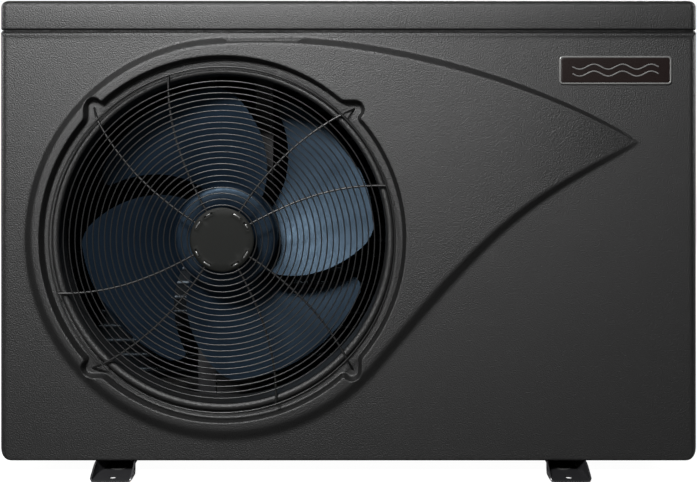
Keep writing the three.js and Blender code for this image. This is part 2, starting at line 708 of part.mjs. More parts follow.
function evaporatorFins() {
  const { left, right, front, back, deep, bottom, top } = COIL;
  const bend = 40;
  const plan = new THREE.Shape();
  plan.moveTo(right, back);
  plan.lineTo(left + bend, back);
  plan.absarc(left + bend, back - bend, bend, Math.PI / 2, Math.PI);
  plan.lineTo(left, front);
  plan.lineTo(left + deep, front);
  plan.lineTo(left + deep, back - bend);
  plan.lineTo(left + bend, back - deep);
  plan.lineTo(right, back - deep);
  return extrudeZ(plan, bottom, top, { arcs: 4 });
}

// The coil's end sheet, with the return bends that join its rows.
function evaporatorEndPlate() {
  const { right, back, deep, bottom, top } = COIL;
  const x = right + GAP;
  const plate = solidBox(x, x + 2, back - deep - 6, back + 4, bottom, top);
  const bends = [];
  for (let i = 0; i < 11; i += 1) {
    const z = bottom + 28 + i * 50.8;
    bends.push(returnBend(x, back - deep / 2, z));
  }
  return unite([plate, ...bends]);
}

function returnBend(x, y, z) {
  const reach = 12.7;
  const points = [
    [x + 0.5, y, z - reach],
    [x + 10, y, z - reach],
    [x + 20, y, z],
    [x + 10, y, z + reach],
    [x + 0.5, y, z + reach],
  ];
  return solid(tube(smoothPath(points, 0.5), 4.8, { sides: 5, steps: 6 }));
}

// Compressor side ----------------------------------------------------------------------------

function partitionPanel() {
  const foot = FOOT_HEIGHT + GAP + SHEET + GAP;
  const [y0, y1] = [FACE_Y + FRONT_DEPTH + 4, REAR_Y - REAR_DEPTH - 4];
  const wall = solidBox(PARTITION_X, PARTITION_X + SHEET, y0, y1, foot, SEAM_Z - 8);
  const flange = solidBox(PARTITION_X, PARTITION_X + 12, y0, y1, foot, foot + SHEET);
  return wall.add(flange);
}

function compressor() {
  const { x, y, radius, bottom, top } = COMPRESSOR;
  const profile = [
    [0, bottom - 8],
    [radius - 18, bottom - 6],
    [radius, bottom + 12],
    [radius, top - 30],
    [radius - 10, top - 12],
    [radius - 32, top],
    [0, top],
  ];
  const shell = solid(latheZ(profile, x, y, 24));
  const plate = new THREE.Shape(isolatorSpots(24).map(([px, py]) => new THREE.Vector2(px, py)));
  const base = solid(extrudeZ(plate, bottom - 12, bottom - 6));
  const holes = isolatorSpots(0).map(([px, py]) => solid(cylinderZ(5, bottom - 20, bottom, px, py, 8)));
  return cut(shell.add(base), holes);
}

function isolatorSpots(grow) {
  return [90, 210, 330].map((degrees) => {
    const angle = THREE.MathUtils.degToRad(degrees);
    const reach = COMPRESSOR.radius + 8 + grow;
    return [COMPRESSOR.x + reach * Math.cos(angle), COMPRESSOR.y + reach * Math.sin(angle)];
  });
}

function compressorIsolator([x, y]) {
  const foot = FOOT_HEIGHT + GAP + SHEET + GAP;
  const top = COMPRESSOR.bottom - 12 - GAP;
  return latheZ([[0, foot], [14, foot], [10, (foot + top) / 2], [14, top], [0, top]], x, y, 12);
}

function terminalCover() {
  const { x, y, radius } = COMPRESSOR;
  return box(x - 22, x + 22, y - radius - 30, y - radius - 0.5, 190, 250);
}

const ACCUMULATOR = { x: 412, y: -105, radius: 30, bottom: 110, top: 300 };

function accumulator() {
  const { x, y, radius, bottom, top } = ACCUMULATOR;
  const profile = [
    [0, bottom],
    [radius * 0.6, bottom + 4],
    [radius, bottom + 24],
    [radius, top - 24],
    [radius * 0.6, top - 4],
    [0, top],
  ];
  return latheZ(profile, x, y, 16);
}

function heatExchangerTank() {
  const { x, y, radius, bottom, top } = TANK;
  const shell = solid(cylinderZ(radius, bottom, top, x, y, 20));
  const hollow = solid(cylinderZ(radius - 6, bottom + 8, top + 1, x, y, 20));
  const ports = [INLET_Z, OUTLET_Z].map((z) => (
    solid(cylinderY(WATER_PIPE_RADIUS + 0.5, y + radius / 2, y + radius + 20, x, z, 16))
  ));
  const stand = solidBox(x - 50, x + 50, y - 50, y + 50, FOOT_HEIGHT + GAP + SHEET + GAP, bottom + 1);
  return cut(shell.add(stand), [hollow, ...ports]);
}

function heatExchangerLid() {
  const { x, y, radius, top } = TANK;
  const base = top + GAP;
  const rim = radius + 4;
  const profile = [[0, base], [rim, base], [rim, base + 14], [radius - 12, base + 26], [0, base + 26]];
  const lid = solid(latheZ(profile, x, y, 20));
  const holes = coilEnds().map(([px, py]) => solid(cylinderZ(9, base - 1, base + 40, px, py, 8)));
  return cut(lid, holes);
}

function coilEnds() {
  return [[TANK.x - 48, TANK.y], [TANK.x + 48, TANK.y]];
}

// The refrigerant side of the exchanger: a helix with both ends led out through the lid.
function titaniumCoil() {
  const { x, y, bottom, top } = TANK;
  const [turns, radius, perTurn] = [4, 48, 8];
  const [low, high] = [bottom + 60, top - 70];
  const out = top + 60;
  const points = [[x - radius, y, out], [x - radius, y, high + 20]];
  for (let i = 1; i <= turns * perTurn; i += 1) {
    const angle = Math.PI + (2 * Math.PI * i) / perTurn;
    const z = high - ((high - low) * i) / (turns * perTurn);
    points.push([x + radius * Math.cos(angle), y + radius * Math.sin(angle), z]);
  }
  points.push([x - 20, y + 8, low - 14], [x, y, low + 14], [x, y, high], [x + 30, y, high + 40]);
  points.push([x + radius, y, high + 55], [x + radius, y, out]);
  return tube(smoothPath(points, 0.5), 6, { sides: 4, steps: 52 });
}

function waterPipe(z) {
  const { x, y, radius } = TANK;
  const start = y + radius - 4;
  const inner = WATER_PIPE_RADIUS - 3;
  return ringY(inner, WATER_PIPE_RADIUS, start, REAR_Y + 24, x, z, 20);
}

function unionNut(z) {
  const grip = WATER_PIPE_RADIUS + 16;
  const bore = WATER_PIPE_RADIUS + 1;
  const nut = solid(ringY(bore, grip, REAR_Y + 3, REAR_Y + 36, TANK.x, z, 16));
  const ribs = Array.from({ length: UNION_RIBS }, (_, i) => {
    const rib = box(grip - 2, grip + 3, REAR_Y + 6, REAR_Y + 33, -3.5, 3.5);
    rib.rotateY((i * 2 * Math.PI) / UNION_RIBS);
    rib.translate(TANK.x, 0, z);
    return solid(rib);
  });
  return unite([nut, ...ribs]);
}

function unionTail(z) {
  const start = REAR_Y + 24 + GAP;
  return ringY(WATER_PIPE_RADIUS - 3, WATER_PIPE_RADIUS, start, UNION_END_Y, TANK.x, z, 20);
}

// Flow switch on the outlet pipe: the paddle hangs into the water from its pivot.
const FLOW_SWITCH_Y = 166;

function outletPipe() {
  const [x, y, z] = [TANK.x, FLOW_SWITCH_Y, OUTLET_Z];
  const opening = solidBox(x - 8, x + 8, y - 6, y + 6, z + 10, z + 30);
  return solid(waterPipe(z)).subtract(opening);
}

function flowSwitchBody() {
  const z = OUTLET_Z + WATER_PIPE_RADIUS + 3;
  const [x, y] = [TANK.x, FLOW_SWITCH_Y];
  const body = solidBox(x - 16, x + 16, y - 9, y + 8, z, z + 40);
  const slot = solidBox(x - 7, x + 7, y - 5, y + 5, z - 1, z + 24);
  return body.subtract(slot);
}

function flowSwitchPaddle() {
  const z = OUTLET_Z + WATER_PIPE_RADIUS + 3;
  const [x, y] = [TANK.x, FLOW_SWITCH_Y];
  const stem = solidBox(x - 3, x + 3, y - 1.2, y + 1.2, OUTLET_Z - 12, z + 15);
  const blade = solidBox(x - 6.5, x + 6.5, y - 0.8, y + 0.8, OUTLET_Z - 14, OUTLET_Z + 10);
  const pin = solid(cylinderX(2, x - 6.5, x + 6.5, y, z + 15, 8));
  return unite([stem, blade, pin]);
}

// Refrigerant circuit ------------------------------------------------------------------------

const VALVE = { x: 300, y: -30, z: 455 };
const COPPER_RADIUS = 6;

function fourWayValve() {
  const { x, y, z } = VALVE;
  const body = solid(cylinderX(16, x - 55, x + 45, y, z, 14));
  const coil = solidBox(x - 12, x + 24, y + 10, y + 44, z - 18, z + 18);
  const stubs = [-24, 0, 24].map((dx) => solid(cylinderZ(7, z - 34, z - 8, x + dx, y, 8)));
  const top = solid(cylinderZ(7, z + 8, z + 30, x, y, 8));
  return unite([body, coil, ...stubs, top]);
}

function expansionValve() {
  const [x, y, z] = [236, 60, 330];
  const body = solid(cylinderZ(10, z - 30, z + 6, x, y, 10));
  const head = solid(cylinderZ(17, z + 6, z + 40, x, y, 14));
  return body.add(head);
}

function discharge() {
  const { x, y, z } = VALVE;
  const lift = COMPRESSOR.top + GAP;
  const points = [
    [COMPRESSOR.x, COMPRESSOR.y, lift],
    [COMPRESSOR.x, COMPRESSOR.y, z + 60],
    [x, y - 20, z + 84],
    [x, y, z + 60],
    [x, y, z + 30 + GAP],
  ];
  return tube(smoothPath(points), COPPER_RADIUS, { sides: 6, steps: 12 });
}

function suction() {
  const { x, y, z } = VALVE;
  const points = [
    [x + 24, y, z - 34 - GAP],
    [x + 24, y, z - 60],
    [x + 70, y - 40, z - 80],
    [ACCUMULATOR.x, ACCUMULATOR.y, z - 100],
    [ACCUMULATOR.x, ACCUMULATOR.y, ACCUMULATOR.top + GAP],
  ];
  return tube(smoothPath(points), COPPER_RADIUS, { sides: 6, steps: 12 });
}

function liquid() {
  const [x, y] = [236, 60];
  const points = [
    [x, y, 330 + 40 + GAP],
    [x, y, 520],
    [x + 30, y, 575],
    [TANK.x - 80, TANK.y, 580],
    [TANK.x - 50, TANK.y, 578],
    [TANK.x - 48, TANK.y, TANK.top + 61],
  ];
  return tube(smoothPath(points), COPPER_RADIUS - 1, { sides: 6, steps: 12 });
}

// Controls -----------------------------------------------------------------------------------

function electricalBox() {
  const [x0, x1, y0, y1, z0, z1] = [226, 470, -140, -60, 545, 636];
  const tray = solidBox(x0, x1, y0, y1, z0, z1);
  return tray.subtract(solidBox(x0 + 2, x1 - 2, y0 + 2, y1 - 2, z0 + 2, z1 + 1));
}

function controlBoard() {
  const board = solidBox(236, 460, -130, -70, 552, 554);
  const blocks = [[250, 40, 18], [310, 26, 26], [355, 34, 14], [410, 36, 30]].map(([x, width, height]) => (
    solidBox(x, x + width, -118, -84, 553, 554 + height)
  ));
  return unite([board, ...blocks]);
}

function pressureGauge() {
  const { x, z, radius } = GAUGE;
  const [front, back] = [REAR_Y + 8, REAR_Y - 26];
  const cup = solid(latheY([[0, back], [radius, back], [radius, front], [0, front]], x, z, 24));
  const recess = solid(cylinderY(radius - 3, front - 10, front + 1, x, z, 24));
  const stem = solid(cylinderY(3, back, front - 5, x, z, 10));
  return cup.subtract(recess).add(stem);
}

function gaugeNeedle() {
  const { x, z } = GAUGE;
  const y = REAR_Y + 8 - 7.5;
  const hub = solid(ringY(3.4, 5.5, y, y + 1.6, x, z, 10));
  const pointer = solidBox(x + 4.5, x + 20, y, y + 1.2, z - 0.9, z + 0.9);
  return hub.add(pointer);
}

function gaugeLens() {
  const { x, z, radius } = GAUGE;
  return cylinderY(radius - 3.3, REAR_Y + 5, REAR_Y + 7.5, x, z, 24);
}

function displayUnit() {
  const { y, z, width, height } = DISPLAY;
  const outer = HALF_WIDTH - WALL - GAP;
  const shape = rectangle(y - width / 2, z - height / 2, y + width / 2, z + height / 2);
  return extrudeX(shape, outer - 18, outer);
}

// The display's cover hangs on its top edge, flush with the side panel.
function displayCover() {
  const { y, z, width, height } = DISPLAY;
  const half = [width / 2 - DISPLAY_RIM - GAP, height / 2 - DISPLAY_RIM - GAP];
  const outer = HALF_WIDTH - GAP;
  const leaf = rectangle(y - half[0], z - half[1], y + half[0], z + half[1]);
  return extrudeX(leaf, outer - 1.6, outer);
}

function cableGland() {
  const profile = closed([
    [5, REAR_Y - 8],
    [GLAND.radius - 0.5, REAR_Y - 8],
    [GLAND.radius - 0.5, REAR_Y + GAP],
    [13, REAR_Y + GAP],
    [13, REAR_Y + 8],
    [GLAND.radius, REAR_Y + 22],
    [5, REAR_Y + 22],
  ]);
  return latheY(profile, GLAND.x, GLAND.z, 12);
}

// Assembly -----------------------------------------------------------------------------------

addPiece('base_pan', basePan(), 'black_steel');
addPiece('foot_rail_left', footRail(-337), 'black_steel');
addPiece('foot_rail_right', footRail(315), 'black_steel');
addPiece('front_panel', frontPanel(), 'charcoal_plastic');
addPiece('venturi_ring', venturiRing(), 'charcoal_plastic');
addPiece('fan_guard', fanGuard(), 'guard_wire');
addPiece('guard_hub_plate', guardHubPlate(), 'guard_wire');
addPiece('badge_plate', badgePlate(), 'badge');
addPiece('top_cover', topCover(), 'charcoal_plastic');
addPiece('left_side_panel', leftSidePanel(), 'charcoal_plastic');
addPiece('right_side_panel', rightSidePanel(), 'charcoal_plastic');
addPiece('rear_panel', rearPanel(), 'charcoal_plastic');
addPiece('rear_coil_guard', rearCoilGuard(), 'guard_wire');

addPiece('fan_wheel', fanWheel(), 'fan_plastic');
addPiece('motor_shaft', motorShaft(), 'bright_steel');
addPiece('fan_nut', fanNut(), 'bright_steel');
addPiece('motor_rotor', motorRotor(), 'black_steel');
addPiece('motor_stator', motorStator(), 'copper');
const motorMiddle = (MOTOR_FRONT_Y + MOTOR_REAR_Y) / 2;
addPiece('motor_front_shell', motorShell(MOTOR_FRONT_Y, motorMiddle - GAP / 2, 13.4), 'galvanised');
addPiece('motor_rear_shell', motorShell(motorMiddle + GAP / 2, MOTOR_REAR_Y, 13.4), 'galvanised');
addPiece('motor_front_bearing', bearing(MOTOR_FRONT_Y + 3), 'bright_steel');
addPiece('motor_rear_bearing', bearing(MOTOR_REAR_Y - 12), 'bright_steel');
addPiece('motor_bracket', motorBracket(), 'black_steel');

addPiece('evaporator_fins', evaporatorFins(), 'fins');
addPiece('evaporator_end_plate', evaporatorEndPlate(), 'copper');
addPiece('partition_panel', partitionPanel(), 'galvanised');
addPiece('compressor', compressor(), 'black_steel');
isolatorSpots(0).forEach((spot, i) => {
  addPiece(`compressor_isolator_${i + 1}`, compressorIsolator(spot), 'rubber');
});
addPiece('compressor_terminal_cover', terminalCover(), 'black_plastic');
addPiece('accumulator', accumulator(), 'black_steel');
addPiece('four_way_valve', fourWayValve(), 'copper');
addPiece('expansion_valve', expansionValve(), 'copper');
addPiece('discharge_pipe', discharge(), 'copper');
addPiece('suction_pipe', suction(), 'copper');
addPiece('liquid_pipe', liquid(), 'copper');

addPiece('heat_exchanger_tank', heatExchangerTank(), 'pvc');
addPiece('heat_exchanger_lid', heatExchangerLid(), 'pvc');
addPiece('titanium_coil', titaniumCoil(), 'titanium');
addPiece('water_inlet_pipe', waterPipe(INLET_Z), 'pvc');
addPiece('water_outlet_pipe', outletPipe(), 'pvc');
addPiece('inlet_union_nut', unionNut(INLET_Z), 'black_plastic');
addPiece('outlet_union_nut', unionNut(OUTLET_Z), 'black_plastic');
addPiece('inlet_union_tail', unionTail(INLET_Z), 'pvc');
addPiece('outlet_union_tail', unionTail(OUTLET_Z), 'pvc');
addPiece('flow_switch_body', flowSwitchBody(), 'black_plastic');
addPiece('flow_switch_paddle', flowSwitchPaddle(), 'bright_steel');

addPiece('electrical_box', electricalBox(), 'black_plastic');
addPiece('control_board', controlBoard(), 'circuit_green');
addPiece('pressure_gauge', pressureGauge(), 'bright_steel');
addPiece('gauge_needle', gaugeNeedle(), 'needle');
addPiece('gauge_lens', gaugeLens(), 'clear');
addPiece('display_unit', displayUnit(), 'black_plastic');
addPiece('display_cover', displayCover(), 'clear');
addPiece('cable_gland', cableGland(), 'black_plastic');

export default assembly;
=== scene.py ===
"""Looks of the pool heat pump unit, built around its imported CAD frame.

Geometry is worked out in millimetres in the frame's own axes (front faces -Y, +Z up) and
stored in metres. A part is a pair of lists: its vertices and its faces.
"""

import json
import math

import bpy
import bmesh
import numpy as np
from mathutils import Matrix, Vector
from mathutils.geometry import delaunay_2d_cdt


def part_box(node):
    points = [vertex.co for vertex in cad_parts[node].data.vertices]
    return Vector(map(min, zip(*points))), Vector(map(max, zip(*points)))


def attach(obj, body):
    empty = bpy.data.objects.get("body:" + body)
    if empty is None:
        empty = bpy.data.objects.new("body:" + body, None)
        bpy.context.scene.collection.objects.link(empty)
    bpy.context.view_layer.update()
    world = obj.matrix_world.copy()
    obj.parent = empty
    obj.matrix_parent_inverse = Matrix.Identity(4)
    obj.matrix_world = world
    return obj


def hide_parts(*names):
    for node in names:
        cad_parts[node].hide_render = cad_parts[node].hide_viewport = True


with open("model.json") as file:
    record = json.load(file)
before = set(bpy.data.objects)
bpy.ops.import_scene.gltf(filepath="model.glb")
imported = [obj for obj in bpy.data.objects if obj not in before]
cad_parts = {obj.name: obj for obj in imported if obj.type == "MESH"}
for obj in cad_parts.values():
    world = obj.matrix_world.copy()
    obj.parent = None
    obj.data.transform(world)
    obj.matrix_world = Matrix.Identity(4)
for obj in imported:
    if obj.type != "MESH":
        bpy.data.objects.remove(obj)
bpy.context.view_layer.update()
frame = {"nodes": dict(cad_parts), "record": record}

MM = 0.001


# ---- frame dimensions

def node_box(node):
    """Lowest and highest corner of a CAD node in millimetres."""
    lo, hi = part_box(node)
    return np.array(lo) / MM, np.array(hi) / MM


def centre_xz(lo, hi):
    return np.array([(lo[0] + hi[0]) / 2, (lo[2] + hi[2]) / 2])


PANEL_LO, PANEL_HI = node_box("front_panel")
COVER_HI = node_box("top_cover")[1]
REAR_LO, REAR_HI = node_box("rear_panel")
VENT_LO, VENT_HI = node_box("venturi_ring")
HALF_WIDTH = PANEL_HI[0]
CASING_BOTTOM, SEAM = PANEL_LO[2], PANEL_HI[2]
LEAF_FACE_Y = PANEL_LO[1]
LEAF_RELIEF = 11.0
FACE_Y = LEAF_FACE_Y + LEAF_RELIEF
PANEL_BACK_Y = PANEL_HI[1]
REAR_Y = REAR_HI[1]
FAN = centre_xz(VENT_LO, VENT_HI)
RECESS_DEPTH = 4.0  # recess floor behind the panel's plane
LOW_CORNER, HIGH_CORNER = 17.0, 4.0  # casing corners seen from the front
SIDE_EDGE, HIGH_EDGE, LOW_EDGE = 12.0, 4.0, 3.0  # roundings from the face to the other walls
MOULDING_THICKNESS = 3.0


# ---- mesh helpers

def make_object(name, part, slot, body="casing", look=None, sharp=35, replaces=None):
    """A smooth-shaded object made from a part, riding on a CAD body.

    look names its material where that isn't its slot's; replaces names the CAD node it hides.
    """
    verts, faces = part
    mesh = bpy.data.meshes.new(name)
    mesh.from_pydata((np.asarray(verts, float) * MM).tolist(), [], faces)
    obj = bpy.data.objects.new(name, mesh)
    bpy.context.scene.collection.objects.link(obj)
    tidy_mesh(mesh, sharp)
    obj.data.materials.append(MATERIALS[look or slot])
    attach(obj, body)
    if replaces:
        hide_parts(replaces)
    return obj


def tidy_mesh(mesh, sharp):
    """Merges doubled points, turns faces outwards, and shades smooth up to the sharp angle."""
    bm = bmesh.new()
    bm.from_mesh(mesh)
    bmesh.ops.remove_doubles(bm, verts=bm.verts, dist=1e-7)
    bmesh.ops.dissolve_degenerate(bm, edges=bm.edges, dist=1e-7)
    bmesh.ops.recalc_face_normals(bm, faces=bm.faces)
    bm.to_mesh(mesh)
    bm.free()
    mesh.polygons.foreach_set("use_smooth", [True] * len(mesh.polygons))
    mesh.set_sharp_from_angle(angle=math.radians(sharp))


def thicken(obj, thickness, quality=True):
    """Gives a sheet its thickness, inwards, as real geometry."""
    solid = obj.modifiers.new("thickness", "SOLIDIFY")
    solid.thickness = thickness * MM
    solid.offset = -1
    solid.use_quality_normals = quality


def bevel(obj, width, segments, angle):
    edge = obj.modifiers.new("edges", "BEVEL")
    edge.width = width * MM
    edge.segments = segments
    edge.limit_method = "ANGLE"
    edge.angle_limit = math.radians(angle)
    edge.harden_normals = True


def join(parts):
    """One part from several."""
    verts, faces = [], []
    for part_verts, part_faces in parts:
        start = len(verts)
        verts.extend(np.asarray(part_verts, float).tolist())
        faces.extend([tuple(i + start for i in face) for face in part_faces])
    return verts, faces


def loft(rings, closed=False, caps=True):
    """Skins a list of equal-length closed rings; closed joins the last ring to the first."""
    count = len(rings[0])
    verts = [tuple(point) for ring in rings for point in ring]
    faces = []
    spans = len(rings) if closed else len(rings) - 1
    for i in range(spans):
        a, b = i * count, ((i + 1) % len(rings)) * count
        for j in range(count):
            k = (j + 1) % count
            faces.append((a + j, a + k, b + k, b + j))
    if caps and not closed:
        faces.append(tuple(range(count))[::-1])
        faces.append(tuple(range((len(rings) - 1) * count, len(rings) * count)))
    return verts, faces


def sweep(path, radius, sides=10, closed=False):
    """A round wire along a list of 3-D points."""
    path = np.asarray(path, float)
    ahead = np.roll(path, -1, axis=0) - path
    behind = path - np.roll(path, 1, axis=0)
    tangent = ahead + behind
    if not closed:
        tangent[0], tangent[-1] = ahead[0], behind[-1]
    tangent /= np.linalg.norm(tangent, axis=1)[:, None]
    seed = np.array([0.0, 1.0, 0.0]) if abs(tangent[0][1]) < 0.9 else np.array([1.0, 0.0, 0.0])
    rings = []
    angles = np.arange(sides) * 2 * math.pi / sides
    for point, along in zip(path, tangent):
        u = seed - along * np.dot(seed, along)
        u /= np.linalg.norm(u)
        v = np.cross(along, u)
        seed = u
        rings.append(point + radius * (np.outer(np.cos(angles), u) + np.outer(np.sin(angles), v)))
    return loft(rings, closed=closed)


def lathe(profile, centre, axis="y", segments=72, closed=True):
    """Turns [radius, along] points about a line parallel to Y or Z through centre.

    A closed profile is a ring; an open one starts and ends on the axis.
    """
    angle = np.arange(segments) * 2 * math.pi / segments
    rings = []
    for radius, along in profile:
        a = centre[0] + radius * np.cos(angle)
        b = centre[1] + radius * np.sin(angle)
        c = np.full(segments, float(along))
        rings.append(np.column_stack([a, c, b] if axis == "y" else [a, b, c]))
    return loft(rings, closed=closed, caps=not closed)


def box_part(x0, x1, y0, y1, z0, z1, round_by, steps):
    """A box with rounded edges."""
    bm = bmesh.new()
    bmesh.ops.create_cube(bm, size=1)
    for v in bm.verts:
        v.co = Vector((x0 + (v.co.x + 0.5) * (x1 - x0),
                       y0 + (v.co.y + 0.5) * (y1 - y0),
                       z0 + (v.co.z + 0.5) * (z1 - z0)))
    bmesh.ops.bevel(bm, geom=bm.edges[:], offset=round_by, segments=steps, profile=0.5, affect="EDGES")
    bm.verts.ensure_lookup_table()
    part = [tuple(v.co) for v in bm.verts], [tuple(v.index for v in f.verts) for f in bm.faces]
    bm.free()
    return part


# ---- outlines

def rounded_profile(points, radius):
    """Rounds each corner of a closed polyline with a small arc-like curve."""
    out = []
    pts = [np.array(p, float) for p in points]
    for i, p in enumerate(pts):
        before, after = pts[i - 1] - p, pts[(i + 1) % len(pts)] - p
        reach = min(radius, 0.45 * np.linalg.norm(before), 0.45 * np.linalg.norm(after))
        a = p + before / np.linalg.norm(before) * reach
        b = p + after / np.linalg.norm(after) * reach
        for t in np.linspace(0, 1, 5):
            out.append((1 - t) ** 2 * a + 2 * t * (1 - t) * p + t ** 2 * b)
    return out


def rounded_rect(x0, z0, x1, z1, low, arc=8, high=None):
    """Counter-clockwise outline with corner arcs; high is the radius of the upper two if it differs."""
    high = high or low
    points = []
    for cx, cz, radius, start in ((x1 - low, z0 + low, low, -90), (x1 - high, z1 - high, high, 0),
                                  (x0 + high, z1 - high, high, 90), (x0 + low, z0 + low, low, 180)):
        for a in np.radians(np.linspace(start, start + 90, arc + 1)):
            points.append((cx + radius * math.cos(a), cz + radius * math.sin(a)))
    return np.array(points)


def casing_outline(inset=0.0, arc=8):
    """Front view of the casing below the lid, counter-clockwise."""
    x = HALF_WIDTH - inset
    low, high = max(LOW_CORNER - inset, 0.8), max(HIGH_CORNER - inset, 0.8)
    return rounded_rect(-x, CASING_BOTTOM + inset, x, SEAM - inset, low, arc, high)


def circle_outline(cx, cz, radius, count):
    a = np.arange(count) * 2 * math.pi / count
    return np.column_stack([cx + radius * np.cos(a), cz + radius * np.sin(a)])


def at_depth(outline, y):
    """An outline seen from the front, placed at y."""
    return np.column_stack([outline[:, 0], y + np.zeros(len(outline)), outline[:, 1]])


def at_height(outline, z):
    """An outline seen from above, placed at z."""
    return np.column_stack([outline, np.full(len(outline), z)])


def rotate(points, degrees):
    a = math.radians(degrees)
    turn = np.array([[math.cos(a), -math.sin(a)], [math.sin(a), math.cos(a)]])
    return np.asarray(points, float) @ turn.T


def bezier(p0, p1, p2, p3):
    t = np.linspace(0, 1, 60)[:, None]
    p0, p1, p2, p3 = (np.array(p, float) for p in (p0, p1, p2, p3))
    return (1 - t) ** 3 * p0 + 3 * (1 - t) ** 2 * t * p1 + 3 * (1 - t) * t ** 2 * p2 + t ** 3 * p3


def smooth_path(points, count):
    """A Catmull-Rom curve through the points."""
    p = [np.array(q, float) for q in points]
    p = [2 * p[0] - p[1]] + p + [2 * p[-1] - p[-2]]
    out = []
    spans = len(p) - 3
    for i in range(spans):
        a, b, c, d = p[i:i + 4]
        for t in np.linspace(0, 1, max(2, count // spans), endpoint=False):
            out.append(0.5 * (2 * b + (c - a) * t + (2 * a - 5 * b + 4 * c - d) * t ** 2
                              + (3 * b - a - 3 * c + d) * t ** 3))
    out.append(p[-2])
    return out


def resample(points, spacing):
    """Evenly spaced points along a closed polyline."""
    points = np.asarray(points, float)
    ring = np.vstack([points, points[:1]])
    step = np.linalg.norm(np.diff(ring, axis=0), axis=1)
    along = np.concatenate([[0], np.cumsum(step)])
    count = max(8, int(round(along[-1] / spacing)))
    at = np.linspace(0, along[-1], count, endpoint=False)
    return np.column_stack([np.interp(at, along, ring[:, 0]), np.interp(at, along, ring[:, 1])])


def inward_normals(points):
    """Unit normals pointing into a counter-clockwise closed polyline."""
    edge = np.roll(points, -1, axis=0) - np.roll(points, 1, axis=0)
    edge /= np.linalg.norm(edge, axis=1)[:, None]
    return np.column_stack([-edge[:, 1], edge[:, 0]])


def inset_loop(loop, distance):
    return loop + inward_normals(loop) * distance


def signed_distance(points, outline):
    """Distance to a closed outline (positive inside) and the nearest outline index."""
    batch = 2000
    a, b = outline, np.roll(outline, -1, axis=0)
    ab = b - a
    length = (ab ** 2).sum(1)
    best = np.empty(len(points))
    index = np.empty(len(points), int)
    inside = np.empty(len(points), bool)
    for start in range(0, len(points), batch):
        rows = slice(start, start + batch)
        p = points[rows]
        ap = p[:, None, :] - a[None]
        t = np.clip((ap * ab).sum(2) / length, 0, 1)
        gap = np.linalg.norm(ap - t[..., None] * ab, axis=2)
        nearest = gap.argmin(1)
        index[rows] = nearest
        best[rows] = gap[np.arange(len(p)), nearest]
        above = (a[None, :, 1] > p[:, 1:2]) != (b[None, :, 1] > p[:, 1:2])
        rise = np.where(b[:, 1] == a[:, 1], 1e-12, b[:, 1] - a[:, 1])
        cross = (b[:, 0] - a[:, 0]) * (p[:, 1:2] - a[None, :, 1]) / rise + a[:, 0]
        inside[rows] = ((above & (p[:, 0:1] < cross)).sum(1) % 2) == 1
    return np.where(inside, best, -best), index


def clear_of(points, holes):
    """True for the points that lie in none of the holes."""
    good = np.ones(len(points), bool)
    for hole in holes:
        good &= signed_distance(points, hole)[0] < 0
    return good


def fillet_ramp(t, soft):
    """0 to 1 as t goes from 0 to 1, with rounded ends that reach soft beyond them."""
    t = np.asarray(t, float)
    soft = np.broadcast_to(soft, t.shape)
    rise = np.clip(t, 0, 1)
    low = (t > -soft) & (t < soft)
    rise = np.where(low, (t + soft) ** 2 / (4 * soft), rise)
    high = (t > 1 - soft) & (t < 1 + soft)
    return np.where(high, 1 - (1 + soft - t) ** 2 / (4 * soft), rise)


def face_drop(points):
    """How far the casing's rounded edges fall back from its face."""
    outline = casing_outline(arc=24)
    distance, nearest = signed_distance(points, outline)
    edge = np.roll(outline, -1, axis=0) - outline
    edge /= np.linalg.norm(edge, axis=1)[:, None]
    inward = np.column_stack([-edge[:, 1], edge[:, 0]])
    level = np.where(inward[:, 1] < 0, HIGH_EDGE, LOW_EDGE)
    radius = (SIDE_EDGE * inward[:, 0] ** 2 + level * inward[:, 1] ** 2)[nearest]
    d = np.clip(distance, 0, radius)
    return radius - np.sqrt(np.maximum(radius ** 2 - (radius - d) ** 2, 0))


def edge_loops():
    """Nested outlines, close together where the edges are tightly rounded."""
    insets = (0, 0.12, 0.45, 1.0, 1.8, 2.9, 4.1, 5.6, 7.4, 9.6, SIDE_EDGE, SIDE_EDGE + 2)
    return [casing_outline(inset) for inset in insets]


def face_grid(pitch):
    """Inner points that keep the casing's flat faces evenly shaded."""
    return np.array([(x, z) for x in np.arange(-460, 461, pitch) for z in np.arange(60, 621, pitch)])


def sheet(loops, keep, place, extra):
    """Triangulates a flat domain held by closed loops, then places each point in space.

    keep takes triangle centres and says which stay; place takes 2-D points to 3-D ones.
    """
    points, edges = [], []
    for loop in loops:
        start = len(points)
        points.extend(loop.tolist())
        edges.extend((start + i, start + (i + 1) % len(loop)) for i in range(len(loop)))
    points.extend(np.asarray(extra, float).reshape(-1, 2).tolist())
    out = delaunay_2d_cdt([Vector(p) for p in points], edges, [], 0, 1e-4, False)
    flat = np.array([tuple(v) for v in out[0]])
    faces = np.array([f for f in out[2]])
    faces = faces[keep(flat[faces].mean(1))]
    return place(flat), [tuple(f) for f in faces.tolist()]


def sheet_skirt(outline, y0, y1, steps):
    """A wall that runs from an outline at y0 to the same outline at y1."""
    return loft([at_depth(outline, y0 + (y1 - y0) * t) for t in np.linspace(0, 1, steps)], caps=False)


# ---- materials

def nodes_of(name):
    material = bpy.data.materials.new(name)
    material.use_nodes = True
    tree = material.node_tree
    return material, tree, tree.nodes["Principled BSDF"]


